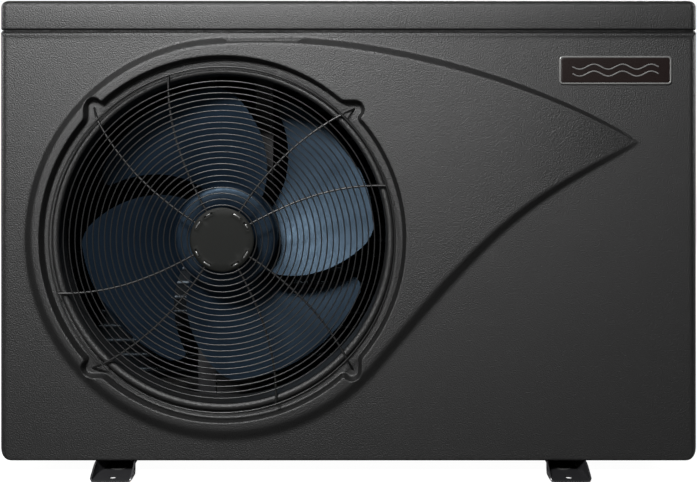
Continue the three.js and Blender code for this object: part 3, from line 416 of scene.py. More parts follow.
def add_noise(tree, scale, detail=4.0, roughness=0.55, stretch=None):
    """Noise in the object's own space, drawn out along one axis where stretch is given."""
    vector = tree.nodes.new("ShaderNodeTexCoord").outputs["Object"]
    if stretch:
        mapping = tree.nodes.new("ShaderNodeMapping")
        mapping.inputs["Scale"].default_value = stretch
        tree.links.new(vector, mapping.inputs["Vector"])
        vector = mapping.outputs["Vector"]
    noise = tree.nodes.new("ShaderNodeTexNoise")
    noise.inputs["Scale"].default_value = scale
    noise.inputs["Detail"].default_value = detail
    noise.inputs["Roughness"].default_value = roughness
    tree.links.new(vector, noise.inputs["Vector"])
    return noise.outputs["Fac"]


def add_range(tree, source, low, high, span=(0.3, 0.7)):
    ramp = tree.nodes.new("ShaderNodeMapRange")
    ramp.inputs["From Min"].default_value = span[0]
    ramp.inputs["From Max"].default_value = span[1]
    ramp.inputs["To Min"].default_value = low
    ramp.inputs["To Max"].default_value = high
    tree.links.new(source, ramp.inputs["Value"])
    return ramp.outputs["Result"]


def add_mix(tree, factor, first, second):
    """Mixes from the first colour, which may be an output socket, to the second."""
    mix = tree.nodes.new("ShaderNodeMix")
    mix.data_type = "RGBA"
    if isinstance(first, bpy.types.NodeSocket):
        tree.links.new(first, mix.inputs["A"])
    else:
        mix.inputs["A"].default_value = (*first, 1)
    mix.inputs["B"].default_value = (*second, 1)
    tree.links.new(factor, mix.inputs["Factor"])
    return mix.outputs["Result"]


def add_relief(tree, height, distance, shader):
    relief = tree.nodes.new("ShaderNodeBump")
    relief.inputs["Distance"].default_value = distance
    tree.links.new(height, relief.inputs["Height"])
    tree.links.new(relief.outputs["Normal"], shader.inputs["Normal"])


def finish_material(name, color, rough, metal=0.0, spread=0.12, grain=600.0, bump=0.0002,
                    patch=9.0, coat=0.0, wear=0.25, specular=0.5, sheen=(1, 1, 1)):
    """A surface with uneven colour, uneven roughness, fine relief and paler worn edges."""
    material, tree, shader = nodes_of(name)
    links = tree.links
    dark = tuple(c * (1 - spread) for c in color)
    light = tuple(min(1, c * (1 + spread)) for c in color)
    blotch = add_mix(tree, add_range(tree, add_noise(tree, patch), 0, 1), dark, light)
    edges = tree.nodes.new("ShaderNodeNewGeometry").outputs["Pointiness"]
    worn = add_range(tree, edges, 0, wear, (0.52, 0.62))
    bare = [min(1, c * 1.8 + 0.01) for c in color]
    links.new(add_mix(tree, worn, blotch, bare), shader.inputs["Base Color"])
    fine = add_noise(tree, grain, detail=3.0)
    links.new(add_range(tree, fine, rough - 0.06, rough + 0.06), shader.inputs["Roughness"])
    add_relief(tree, fine, bump, shader)
    shader.inputs["Metallic"].default_value = metal
    shader.inputs["Coat Weight"].default_value = coat
    shader.inputs["Specular IOR Level"].default_value = specular
    shader.inputs["Specular Tint"].default_value = (*sheen, 1)
    return material


def brushed_material(name, color, rough, stretch):
    """Metal with fine drawn lines along one axis."""
    material, tree, shader = nodes_of(name)
    lines = add_noise(tree, 12.0, 6.0, 0.5, stretch)
    dark = tuple(c * 0.75 for c in color)
    tree.links.new(add_mix(tree, add_range(tree, lines, 0, 1), dark, color), shader.inputs["Base Color"])
    tree.links.new(add_range(tree, lines, rough - 0.08, rough + 0.1), shader.inputs["Roughness"])
    add_relief(tree, lines, 0.00005, shader)
    shader.inputs["Metallic"].default_value = 1.0
    return material


def clear_material(name, tint):
    material, tree, shader = nodes_of(name)
    tree.links.new(add_range(tree, add_noise(tree, 40), 0.04, 0.14), shader.inputs["Roughness"])
    shader.inputs["Base Color"].default_value = (*tint, 1)
    shader.inputs["Transmission Weight"].default_value = 1.0
    shader.inputs["IOR"].default_value = 1.49
    return material


MATERIALS = {
    "charcoal_plastic": finish_material(  # a moulding with a fine leather-like grain
        "casing_plastic", (0.0014, 0.0014, 0.0014), 0.52,
        grain=560, bump=0.0009, patch=6, spread=0.06, wear=0.12),
    "black_plastic": finish_material(
        "black_plastic", (0.013, 0.013, 0.014), 0.42, grain=500, bump=0.0001),
    "fan_plastic": finish_material(
        "fan_plastic", (0.0018, 0.0040, 0.0076), 0.47,
        grain=250, bump=0.0001, patch=14, spread=0.2, wear=0.1, specular=0.28, sheen=(0.5, 0.74, 1.0)),
    "black_steel": finish_material(
        "black_steel", (0.012, 0.012, 0.013), 0.34, grain=900, bump=0.00006, coat=0.2, wear=0.3),
    "galvanised": finish_material(
        "galvanised", (0.36, 0.37, 0.38), 0.42,
        metal=1.0, grain=70, bump=0.00003, patch=60, spread=0.18, wear=0),
    "guard_wire": finish_material(
        "guard_wire", (0.002, 0.002, 0.002), 0.42, grain=700, bump=0.00005, wear=0.2, specular=0.4),
    "hub_plate": finish_material(
        "hub_plate", (0.0014, 0.0017, 0.0012), 0.66,
        grain=700, bump=0.00006, patch=40, wear=0.3, specular=0.16),
    "worn_steel": finish_material(
        "worn_steel", (0.10, 0.10, 0.098), 0.3, metal=0.5, grain=900, bump=0.00003),
    "badge": finish_material(
        "badge_face", (0.0045, 0.0022, 0.0019), 0.3, grain=900, bump=0.00003, wear=0.1),
    "badge_rim": finish_material(
        "badge_rim", (0.13, 0.13, 0.127), 0.3, metal=0.4, grain=900, bump=0.00003, wear=0),
    # The fins are aluminium; this near-black colour is painted shade for the dark inside of the casing.
    "fins": finish_material(
        "fin_metal_painted_shade", (0.05, 0.06, 0.07), 0.5, metal=0.6, grain=300, bump=0.00003, wear=0),
    # The tubes' blue-grey tint is their coating; their darkness is painted shade for the dark inside of
    # the casing.
    "painted_shade_coil_tube": finish_material(
        "painted_shade_coil_tube", (0.03, 0.039, 0.048), 0.5, metal=0.6, grain=300, bump=0.00003, wear=0),
    "copper": finish_material(
        "copper", (0.42, 0.19, 0.10), 0.34,
        metal=1.0, grain=200, bump=0.00003, patch=25, spread=0.35, wear=0.2),
    "titanium": brushed_material("titanium", (0.36, 0.35, 0.34), 0.32, (8, 8, 90)),
    "bright_steel": brushed_material("bright_steel", (0.55, 0.56, 0.57), 0.26, (60, 8, 60)),
    "rubber": finish_material("rubber", (0.014, 0.014, 0.014), 0.85, grain=400, bump=0.0002, wear=0.1),
    "pvc": finish_material(
        "pvc", (0.62, 0.62, 0.59), 0.36, grain=300, bump=0.00004, patch=12, spread=0.05, wear=0),
    "circuit_green": finish_material(
        "circuit_green", (0.015, 0.10, 0.035), 0.45, grain=900, bump=0.0001, patch=180, spread=0.5),
    "clear": clear_material("clear_plastic", (0.93, 0.95, 0.96)),
    "needle": finish_material("needle_red", (0.35, 0.02, 0.012), 0.4, grain=800, bump=0.00003),
    "dial": finish_material(
        "dial_white", (0.78, 0.78, 0.75), 0.4, grain=500, bump=0.00002, wear=0, spread=0.03),
    "screen": finish_material(
        "screen_glass", (0.012, 0.016, 0.02), 0.12, grain=300, bump=0.00001, coat=0.6, wear=0),
}


# ---- front panel

LEAF_CENTRE = np.array([-177.0, 342.0])
LEAF_RADIUS = 290.0
LEAF_TIP = np.array([424.0, 480.0])
LEAF_FADE_X = 210  # from here to the tip the relief sinks into the panel
RECESS_RADIUS = 263.5
RECESS_WALL = 3.8
EAR_REACH = 266.3  # centre of each ear's rounded end, from the fan's axis
EAR_RADIUS = 13.5
EAR_ANGLE = 44.3
OPENING_RADIUS = 248.0
LIP_RADIUS = 250.2  # where the recess floor starts to curve into the opening


def leaf_outline():
    """Round at the fan and drawn out to a point at the upper right, counter-clockwise."""
    angle = np.radians(np.linspace(95, 320, 160))
    arc = LEAF_CENTRE + LEAF_RADIUS * np.column_stack([np.cos(angle), np.sin(angle)])
    low = bezier(arc[-1], arc[-1] + (180, 214), LEAF_TIP - (172, 92), LEAF_TIP)
    high = bezier(LEAF_TIP, LEAF_TIP + (-66, 45), arc[0] + (299, 26), arc[0])
    return resample(np.vstack([arc[:-1], low[:-1], high[:-1]]), 3.0)


def leaf_wall(outline):
    """Width and softness of the leaf's wall: widest where it faces down, narrow at the tip."""
    normal = inward_normals(outline)
    down = np.clip(normal[:, 1] * 0.5 + 0.5, 0, 1)
    blend = down ** 1.5
    to_tip = np.clip((LEAF_TIP[0] - outline[:, 0]) / 300, 0.0, 1)
    width = (10.5 + 3.5 * blend) * (0.42 + 0.58 * to_tip)
    return width, 0.12 + 0.18 * blend


def leaf_height(x):
    t = np.clip((x - LEAF_FADE_X) / (LEAF_TIP[0] - LEAF_FADE_X), 0, 1)
    return LEAF_RELIEF * (1 - t ** 2.6)


def recess_outline():
    """A circle with four ears; each ear has one long straight flank and one short notch."""
    ear = EAR_REACH * np.array([math.cos(math.radians(EAR_ANGLE)), math.sin(math.radians(EAR_ANGLE))])
    top = ear[1] + EAR_RADIUS
    flank_angle = math.degrees(math.atan2(top, math.sqrt(RECESS_RADIUS ** 2 - top ** 2)))
    notch_angle = EAR_ANGLE - 4.8
    tip = np.radians(np.linspace(-62, 90, 16))
    rim = np.radians(np.linspace(flank_angle - 90, notch_angle, 40))
    quarter = np.vstack([RECESS_RADIUS * np.column_stack([np.cos(rim), np.sin(rim)]),
                         ear + EAR_RADIUS * np.column_stack([np.cos(tip), np.sin(tip)])])
    points = resample(np.vstack([rotate(quarter, 90 * k) for k in range(4)]), 2.5)
    for _ in range(2):
        points = (np.roll(points, 1, axis=0) + 2 * points + np.roll(points, -1, axis=0)) / 4
    return points + FAN


def front_panel():
    """The face with its leaf and recess, a skirt round the casing and a collar in the opening."""
    leaf = leaf_outline()
    width, soft = leaf_wall(leaf)
    normal = inward_normals(leaf)
    recess = recess_outline()
    shares = (-0.6, -0.4, -0.14, 0, 0.14, 0.4, 0.6, 0.86, 1.0, 1.14, 1.4, 1.6)
    loops = [leaf + normal * (width * share)[:, None] for share in shares]
    loops += [inset_loop(recess, d) for d in (-3.2, -1.4, -0.5, 0, 0.5, 1.2, 2.0, 2.8, 3.6, 4.4, 6.0)]
    loops += [circle_outline(*FAN, radius, 300) for radius in (OPENING_RADIUS, 248.8, LIP_RADIUS)]
    loops += edge_loops()

    def keep(centres):
        return np.linalg.norm(centres - FAN, axis=1) > OPENING_RADIUS - 0.1

    def place(points):
        height = -face_drop(points)
        inside, nearest = signed_distance(points, leaf)
        ramp = fillet_ramp(inside / width[nearest], soft[nearest])
        height = height + leaf_height(points[:, 0]) * ramp
        pocket, _ = signed_distance(points, recess)
        sink = fillet_ramp(pocket / RECESS_WALL, 0.28)
        height = height * (1 - sink) - RECESS_DEPTH * sink
        radius = np.linalg.norm(points - FAN, axis=1)
        height = height - np.clip(LIP_RADIUS - radius, 0, 3) ** 2 * 0.25
        return np.column_stack([points[:, 0], FACE_Y - height, points[:, 1]])

    face = sheet(loops, keep, place, face_grid(20.0))
    outline = casing_outline()
    skirt = sheet_skirt(outline, FACE_Y + face_drop(outline), PANEL_BACK_Y, 4)
    opening = circle_outline(*FAN, OPENING_RADIUS, 300)[::-1]
    collar = sheet_skirt(opening, FACE_Y + RECESS_DEPTH + 1.2, FACE_Y + 8, 2)
    panel = make_object("front_panel_moulding", join([face, skirt, collar]), "charcoal_plastic",
                        sharp=60, replaces="front_panel")
    thicken(panel, MOULDING_THICKNESS)


# ---- air outlet

GUARD_Y = -215.0
RING_COUNT = 22
FIRST_RING = 49.6
RING_PITCH = 8.44
FRAME_RING = 247.5
HUB_CAP_RADIUS = 46.0
# Each quarter of the guard has a spoke to an ear and a spoke to the frame ring: its end's angle
# and radius, how far it leans over on its way, in degrees, and how early it does so.
EAR_SPOKE = {"outer": 44.7, "reach": EAR_REACH, "lean": 13.0, "power": 1.35}
FRAME_SPOKE = {"outer": 18.1, "reach": FRAME_RING, "lean": 10.75, "power": 1.6}


def venturi_ring():
    """A rolled lip and a short collar behind it."""
    flange = FACE_Y + 7.8
    profile = [(241.6 + 5.4 * math.cos(a), LEAF_FACE_Y + 9.0 - 6.0 * math.sin(a))
               for a in np.radians(np.linspace(188, -8, 16))]
    profile += [(246.9, flange), (262, flange), (262, flange + 3), (239, flange + 3),
                (239, VENT_HI[1]), (236.2, VENT_HI[1])]
    make_object("air_outlet_ring", lathe(profile, FAN, segments=180), "charcoal_plastic",
                replaces="venturi_ring")


def around_fan(radius, degrees, y):
    a = math.radians(degrees)
    return np.array([FAN[0] + radius * math.cos(a), y, FAN[1] + radius * math.sin(a)])


def spoke(course, turn):
    """Runs out behind the rings and leans over as it goes; an ear's spoke ends in its floor."""
    plane = GUARD_Y + 2.5
    floor = FACE_Y + RECESS_DEPTH

    def at(radius, y):
        way = np.clip((radius - FIRST_RING) / (course["reach"] - FIRST_RING), 0, 1)
        lean = course["lean"] * (1 - way ** course["power"])
        return around_fan(radius, turn + course["outer"] + lean, y)

    path = [at(r, plane) for r in (41, 60, 85, 110, 135, 160, 185, 210, 230, 241)]
    if course is EAR_SPOKE:
        path += [at(250, plane + 1.2), at(257, floor - 9.5), at(262.4, floor - 4.2)]
        path += [at(265.6, floor - 0.5), at(EAR_REACH, floor + 4)]
    else:
        path += [at(FRAME_RING, plane)]
    return sweep(smooth_path(path, 70), 1.6)


def fan_guard():
    def ring(radius, wire):
        return sweep(at_depth(circle_outline(*FAN, radius, 144), GUARD_Y), wire, 8, closed=True)

    parts = [ring(FIRST_RING + i * RING_PITCH, 0.95) for i in range(RING_COUNT)]
    parts.append(ring(FRAME_RING, 1.1))
    for quarter in range(4):
        parts += [spoke(course, 90 * quarter) for course in (EAR_SPOKE, FRAME_SPOKE)]
    make_object("guard_wires", join(parts), "guard_wire", sharp=80, replaces="fan_guard")


def hub_plate():
    """A dished plate whose rim is slit and crimped over the spokes."""
    slots = []
    crimps = []
    loops = [circle_outline(0, 0, r, 96) for r in (HUB_CAP_RADIUS, 45.6, 44.8, 43.4, 34.0)]
    for quarter in range(4):
        for course, half in ((EAR_SPOKE, 7.5), (FRAME_SPOKE, 4.0)):
            middle = course["outer"] + course["lean"]
            a = np.radians(np.linspace(-9, 9, 9) + middle + 90 * quarter)
            outer = np.column_stack([np.cos(a), np.sin(a)]) * 41.2
            inner = np.column_stack([np.cos(a), np.sin(a)]) * 38.6
            slot = resample(np.vstack([outer, inner[::-1]]), 1.2)
            slots.append(slot)
            loops += [inset_loop(slot, d) for d in (0, -0.7, -1.8, 0.4)]
            arc = [around_fan(40.4, middle + 90 * quarter + turn,
                              GUARD_Y - 1.4 - 0.7 * math.cos(turn / half * math.pi / 2))
                   for turn in np.linspace(-half, half, 11)]
            crimps.append(sweep(arc, 1.15, 8))

    def keep(centres):
        return np.linalg.norm(centres, axis=1) < HUB_CAP_RADIUS

    def place(points):
        reach = np.linalg.norm(points, axis=1)
        height = 1.7 - np.clip((reach - 42.5) / 3.5, 0, 1) ** 2 * 1.5
        for slot in slots:
            inside, _ = signed_distance(points, slot)
            height = height + 0.5 * np.exp(-((inside + 0.9) / 0.9) ** 2)
            height = np.where(inside > 0.2, 0.1, height)
        return np.column_stack([FAN[0] + points[:, 0], GUARD_Y - 0.1 - height, FAN[1] + points[:, 1]])

    grid = np.array([(x, z) for x in np.arange(-40, 41, 4.0) for z in np.arange(-40, 41, 4.0)
                     if math.hypot(x, z) < 36])
    cap = make_object("guard_hub_cap", sheet(loops, keep, place, grid), "guard_wire",
                      look="hub_plate", sharp=45, replaces="guard_hub_plate")
    thicken(cap, 1.0, quality=False)
    make_object("guard_hub_crimps", join(crimps), "guard_wire", look="worn_steel", sharp=80)


# ---- fan

WHEEL_LO, WHEEL_HI = node_box("fan_wheel")
FAN_TIP = (WHEEL_HI[0] - WHEEL_LO[0]) / 2
FAN_HUB = 74.0
BLADE_COUNT = 4
BLADE_CHORD = 75.0  # degrees
BLADE_DEPTH = 55  # from the trailing edge to the leading edge, along the axis
FAN_FRONT = WHEEL_LO[1]


def fan_blade(index):
    """Sections along the radius, each a thin curved plate with rounded edges."""
    stations = 26
    steps = 22
    root = FAN_HUB - 3
    rings = []
    for out in np.arange(stations) / (stations - 1):
        radius = root + (FAN_TIP - root) * out
        trailing = 0.3 * (radius - FAN_TIP)
        near_tip = np.clip((out - 0.86) / 0.14, 0, 1)
        start = trailing + 3 * near_tip ** 3
        end = trailing + BLADE_CHORD - 10 * near_tip ** 2
        half = (1.7 - 0.7 * out) * (1 - 0.5 * near_tip)
        front, back = [], []
        for u in np.arange(steps + 1) / steps:
            degrees = start + (end - start) * u
            along = (degrees - trailing) / BLADE_CHORD
            y = FAN_FRONT + 8 + 0.1 * (radius - FAN_HUB) + BLADE_DEPTH * along ** 0.9
            thin = half * min(1, (min(u, 1 - u) * 14 + 0.25)) ** 0.5
            front.append(around_fan(radius, degrees + index * 90, y - thin))
            back.append(around_fan(radius, degrees + index * 90, y + thin))
        rings.append(front + back[::-1])
    return loft(rings)


def fan_wheel():
    f = FAN_FRONT
    hub_front = [(6.5, f + 0.4), (34, f + 0.4), (38, f - 1.5), (44, f - 11), (48, f - 13), (68, f - 12.4)]
    hub_side = [(72, f - 11.2), (74.6, f - 8.6), (75.8, f - 5), (76, f - 1), (76, f + 67), (73, f + 67)]
    inside = [(73, f - 1), (69, f - 8), (49, f - 9), (41, f + 3), (20, f + 5), (16, f + 7), (16, f + 37),
              (6.5, f + 37)]
    parts = [lathe(hub_front + hub_side + inside, FAN, segments=96)]
    parts += [fan_blade(index) for index in range(BLADE_COUNT)]
    make_object("fan_blades_and_hub", join(parts), "fan_plastic", "fan", sharp=38, replaces="fan_wheel")


# ---- casing

LID_BOTTOM, LID_TOP = SEAM + 3.0, COVER_HI[2]
LID_RIM = LID_TOP - 1.2  # the border round the lid's slightly raised middle
LID_EDGE = 10.0  # rounding of the top edge
LID_LIP = 3.0  # rounding of the lower edge
DISPLAY_LO, DISPLAY_HI = node_box("display_unit")
DOOR_LO, DOOR_HI = node_box("display_cover")
GUARD_LO, GUARD_HI = node_box("rear_coil_guard")
GAUGE_LO, GAUGE_HI = node_box("pressure_gauge")
GLAND_LO, GLAND_HI = node_box("cable_gland")


def lid_ring(inset, z):
    plan = rounded_rect(-HALF_WIDTH + inset, FACE_Y + inset, HALF_WIDTH - inset, REAR_Y - inset,
                        max(SIDE_EDGE - 0.8 * inset, 2.5), 10)
    return at_height(plan, z)


def top_cover():
    """A lid with rounded edges over a flange that shows as a fine line in the seam."""
    steps = [(12, LID_TOP - 5), (9, LID_TOP - 16), (9, LID_BOTTOM + 14), (8, LID_BOTTOM)]
    for a in np.radians(np.linspace(0, 90, 6)):
        steps.append((LID_LIP * (1 - math.sin(a)), LID_BOTTOM + LID_LIP * (1 - math.cos(a))))
    for a in np.radians(np.linspace(0, 90, 12)):
        steps.append((LID_EDGE * (1 - math.cos(a)), LID_RIM - LID_EDGE * (1 - math.sin(a))))
    steps += [(30, LID_RIM), (33, LID_RIM + 0.3), (38, LID_TOP - 0.1), (41, LID_TOP), (60, LID_TOP)]
    flange = [(14, SEAM + 0.6), (1.7, SEAM + 0.6), (1.2, SEAM + 0.9), (1.2, SEAM + 1.6),
              (1.7, SEAM + 1.9), (14, SEAM + 1.9)]
    lid = loft([lid_ring(*step) for step in steps])
    make_object("lid", join([lid, loft([lid_ring(*step) for step in flange], closed=True)]),
                "charcoal_plastic", sharp=50, replaces="top_cover")


def side_skin(side, y0, y1, slots):
    """A side wall unrolled along the casing's outline, with its two rounded returns."""
    flat = (CASING_BOTTOM + LOW_CORNER, SEAM - HIGH_CORNER)
    low, high = flat[0] - LOW_CORNER * math.pi / 2, flat[1] + HIGH_CORNER * math.pi / 2
    loops = [np.array([(y0, low), (y1, low), (y1, high), (y0, high)])]
    loops += [inset_loop(slot, d) for slot in slots for d in (0, -0.8, -2.0)]
    rows = list(np.linspace(low, flat[0], 9)) + list(np.linspace(flat[1], high, 7))
    rows += [flat[0] + 2.5, *np.arange(flat[0] + 20, flat[1] - 12, 20.0), flat[1] - 2.5]
    extra = [(y, s) for s in rows for y in np.linspace(y0, y1, 18)]

    def place(points):
        y, s = points[:, 0], points[:, 1]
        a = np.clip((flat[0] - s) / LOW_CORNER, 0, math.pi / 2)
        b = np.clip((s - flat[1]) / HIGH_CORNER, 0, math.pi / 2)
        x = HALF_WIDTH - LOW_CORNER * (1 - np.cos(a)) - HIGH_CORNER * (1 - np.cos(b))
        z = np.clip(s, *flat) - LOW_CORNER * np.sin(a) + HIGH_CORNER * np.sin(b)
        for slot in slots:
            distance, _ = signed_distance(points, slot)
            x = x - 0.8 * np.clip(1 + distance / 2.0, 0, 1) ** 2
        return np.column_stack([side * x, y, z])

    return sheet(loops, lambda centres: clear_of(centres, slots), place, extra)


def side_panel(which, side, slots):
    lo, hi = node_box(which + "_side_panel")
    obj = make_object(which + "_side", side_skin(side, lo[1], hi[1], slots), "charcoal_plastic",
                      sharp=50, replaces=which + "_side_panel")
    thicken(obj, MOULDING_THICKNESS)


def left_side():
    """The air side: two columns of slots."""
    slots = []
    for z in range(90, 561, 47):
        for y0, y1 in ((-120, -8), (8, 120)):
            slots.append(resample(rounded_rect(y0, z, y1, z + 30, 30 * 0.48, 6), 3.0))
    side_panel("left", -1, slots)


def right_side():
    """The service side: a window for the display."""
    gap = 0.6
    window = rounded_rect(DOOR_LO[1] - gap, DOOR_LO[2] - gap, DOOR_HI[1] + gap, DOOR_HI[2] + gap, 3)
    side_panel("right", 1, [resample(window, 4.0)])


def rear_panel():
    """Openings for the coil, the two water pipes, the gauge and the cable gland."""
    opening = rounded_rect(GUARD_LO[0] - 1, GUARD_LO[2] - 1, GUARD_HI[0] + 1, GUARD_HI[2] + 1, 10)
    holes = [resample(opening, 8)]
    holes += [circle_outline(*centre_xz(*node_box(pipe)), 33, 60)
              for pipe in ("water_inlet_pipe", "water_outlet_pipe")]
    holes.append(circle_outline(*centre_xz(GAUGE_LO, GAUGE_HI), 28, 48))
    holes.append(circle_outline(*centre_xz(GLAND_LO, GLAND_HI), 9, 24))
    loops = edge_loops()
    for hole in holes:
        loops += [inset_loop(hole, d) for d in (0, -0.8, -2.0, -4.0, -5.5)]

    def place(points):
        height = -face_drop(points)
        for hole in holes:
            distance, _ = signed_distance(points, hole)
            height = height - 2.0 * np.clip(1 + distance / 4.0, 0, 1) ** 2
        return np.column_stack([points[:, 0], REAR_Y + height, points[:, 1]])

    face = sheet(loops, lambda centres: clear_of(centres, holes), place, face_grid(40.0))
    outline = casing_outline()
    skirt = sheet_skirt(outline, REAR_Y - face_drop(outline), REAR_LO[1], 3)
    obj = make_object("rear_moulding", join([face, skirt]), "charcoal_plastic",
                      sharp=60, replaces="rear_panel")
    thicken(obj, MOULDING_THICKNESS)


def rear_coil_guard():
    """Welded wires: verticals in front, horizontals behind, in a thicker frame."""
    columns, rows = 12, 18
    y = (GUARD_LO[1] + GUARD_HI[1]) / 2
    x0, x1, z0, z1 = GUARD_LO[0] + 3, GUARD_HI[0] - 3, GUARD_LO[2] + 3, GUARD_HI[2] - 3
    parts = [sweep(at_depth(rounded_rect(x0, z0, x1, z1, 9, 6), y), 2.4, closed=True)]
    for x in np.linspace(x0, x1, columns + 1)[1:-1]:
        parts.append(sweep([(x, y + 0.6, z0), (x, y + 0.6, z1)], 1.3, 8))
    for z in np.linspace(z0, z1, rows + 1)[1:-1]:
        parts.append(sweep([(x0, y - 1.2, z), (x1, y - 1.2, z)], 1.3, 8))
    make_object("rear_guard_wires", join(parts), "guard_wire", sharp=80, replaces="rear_coil_guard")


def badge():
    """A small plate with a bright rim and a plain double wave."""
    lo, hi = node_box("badge_plate")
    front = lo[1]

    def plate(inset, y, corner):
        outline = rounded_rect(lo[0] + inset, lo[2] + inset, hi[0] - inset, hi[2] - inset, corner)
        return at_depth(outline, y)

    levels = [(0, hi[1]), (0, front + 1.2), (0.3, front + 0.5), (0.9, front + 0.1),
              (2.1, front + 0.1), (2.5, front + 0.5), (2.7, front + 1.1)]
    rim = loft([plate(inset, y, 5.5 - inset) for inset, y in levels])
    make_object("badge_rim", rim, "badge", look="badge_rim", sharp=50, replaces="badge_plate")
    levels = [(2.6, front + 1.6), (2.6, front + 0.95), (3.1, front + 0.75), (5, front + 0.7)]
    make_object("badge_face", loft([plate(inset, y, 3.4) for inset, y in levels]), "badge", sharp=50)
    cx, cz = centre_xz(lo, hi)
    t = np.linspace(-1, 1, 80)
    waves = []
    for offset in (-5.0, 5.0):
        wave = np.column_stack([cx + 62 * t, cz + offset + 3.6 * np.sin(t * math.pi * 3)])
        waves.append(sweep(at_depth(wave, front + 0.7), 1.0, 8))
    make_object("badge_waves", join(waves), "badge", look="badge_rim", sharp=80)


def foot_rail(node):
    """A pressed channel, unrolled: floor and two flanges that taper towards each end."""
    lo, hi = node_box(node)
    near, far = lo[1], hi[1]
    middle = (lo[0] + hi[0]) / 2
    half = (hi[0] - lo[0]) / 2
    bend = 4.0
    arc = bend * math.pi / 2
    floor = half - bend
    top = floor + arc + hi[2] - lo[2] - bend
    taper = 33.0
    low_edge = floor + arc + 2.0
    anchor, plug = 16, 62  # how far each end's two holes lie from that end
    shape = [(-floor - 1, near), (floor + 1, near), (low_edge, near + 3), (top, near + taper),
             (top, far - taper), (low_edge, far - 3), (floor + 1, far), (-floor - 1, far),
             (-low_edge, far - 3), (-top, far - taper), (-top, near + taper), (-low_edge, near + 3)]
    outline = resample(shape, 6.0)
    waist = 20.0 / half  # the rail is narrower between its two ends
    holes = [circle_outline(0, y, 5.5, 32) for y in (near + anchor, far - anchor)]
    holes += [circle_outline(0, 0, 13.0, 40) * (1 / waist, 1) + (0, y) for y in (near + plug, far - plug)]
    rows = []
    for s in np.linspace(floor, floor + arc, 6):
        for y in np.linspace(near + 6, far - 6, 40):
            rows += [(s, y), (-s, y)]

    def keep(centres):
        return (signed_distance(centres, outline)[0] > 0) & clear_of(centres, holes)

    def place(points):
        s = np.abs(points[:, 0])
        a = np.clip((s - floor) / bend, 0, math.pi / 2)
        x = np.minimum(s, floor) + bend * np.sin(a)
        z = bend * (1 - np.cos(a)) + np.clip(s - floor - arc, 0, None)
        from_end = np.minimum(points[:, 1] - near, far - points[:, 1])
        x = x * (1 - (1 - waist) * fillet_ramp((from_end - 34) / 26, 0.4))
        return np.column_stack([middle + np.sign(points[:, 0]) * x, points[:, 1], lo[2] + z])

    rail = make_object(node + "_channel", sheet([outline] + holes, keep, place, rows), "black_steel",
                       sharp=50, replaces=node)
    thicken(rail, 2.4, quality=False)
    disc = rounded_profile([(0.5, lo[2] + 0.6), (14.2, lo[2] + 0.6), (14.2, lo[2] + 3.4),
                            (0.5, lo[2] + 3.0)], 0.6)
    plugs = [lathe(disc, (middle, y), axis="z", segments=48) for y in (near + plug, far - plug)]
    make_object(node + "_plugs", join(plugs), "rubber")
    bevel(rail, 0.6, 2, 50)


# ---- coil

FIN_LO, FIN_HI = node_box("evaporator_fins")
COIL_DEPTH = 38.0
COIL_TURN = 21.0
FIN_PITCH = 2.6
TUBE_PITCH = 25.4


def coil_path():
    """Centre line of the coil in plan: left leg, bend, rear leg."""
    x_left = FIN_LO[0] + COIL_DEPTH / 2
    y_back = FIN_HI[1] - COIL_DEPTH / 2
    turn = COIL_TURN
    path = [(x_left, y) for y in np.arange(FIN_LO[1] + 2, y_back - turn, FIN_PITCH)]
    for a in np.radians(np.linspace(180, 90, 14)):
        path.append((x_left + turn + turn * math.cos(a), y_back - turn + turn * math.sin(a)))
    path += [(x, y_back) for x in np.arange(x_left + turn + FIN_PITCH, FIN_HI[0] - 2, FIN_PITCH)]
    return np.array(path)


def evaporator():
    """Folded fins across the path and two staggered rows of tubes along it."""
    path = coil_path()
    tangent = np.gradient(path, axis=0)
    tangent /= np.linalg.norm(tangent, axis=1)[:, None]
    across = np.column_stack([-tangent[:, 1], tangent[:, 0]])
    low, high = FIN_LO[2], FIN_HI[2]
    folds = [(a, 1.3 if i % 2 else -1.3) for i, a in enumerate(np.linspace(-18.5, 18.5, 7))]
    section = [(a, b - 0.12) for a, b in folds] + [(a, b + 0.12) for a, b in folds[::-1]]
    fins = []
    for point, t, n in zip(path, tangent, across):
        outline = np.array([point + n * a + t * b for a, b in section])
        fins.append(loft([at_height(outline, low), at_height(outline, high)]))
    # The fins' near-black colour is painted shade for the dark inside of the casing.
    make_object("coil_fins", join(fins), "fins", replaces="evaporator_fins")
    tubes = []
    for row, shift in ((-15.4, 0.0), (9.5, TUBE_PITCH / 2)):
        for z in np.arange(low + 15 + shift, high - 8, TUBE_PITCH):
            tubes.append(sweep(at_height(path + across * row, z)[::6], 4.8, 8))
    # The tubes' dark colour is painted shade for the dark inside of the casing.
    make_object("coil_tubes", join(tubes), "fins", look="painted_shade_coil_tube", sharp=80)


# ---- water side and instruments

def union(which):
    """A ribbed nut and the stub of pipe that it holds."""
    nut_lo, nut_hi = node_box(which + "_union_nut")
    tail_lo, tail_hi = node_box(which + "_union_tail")
    centre = centre_xz(*node_box("water_" + which + "_pipe"))
    y0, y1 = nut_lo[1], nut_hi[1]
    bore = 26.0
    body = rounded_profile([(bore, y0), (40, y0), (41, y0 + 3), (41, y1 - 5), (36, y1), (bore, y1)], 2.2)
    parts = [lathe(body, centre)]
    rib_verts, rib_faces = box_part(39.5, 43.9, y0 + 3, y1 - 6, -3.4, 3.4, 1.4, 3)
    for k in range(6):
        plan = rotate([(x, z) for x, _, z in rib_verts], 60 * k) + centre
        turned = [(x, y, z) for (x, z), (_, y, _) in zip(plan, rib_verts)]
        parts.append((turned, rib_faces))
    make_object(which + "_nut_grip", join(parts), "black_plastic", which + "_nut",
                replaces=which + "_union_nut")
    tail = rounded_profile([(22, tail_lo[1]), (25, tail_lo[1]), (25, tail_hi[1]), (22, tail_hi[1])], 0.8)
    make_object(which + "_tail_pipe", lathe(tail, centre), "pvc", replaces=which + "_union_tail")


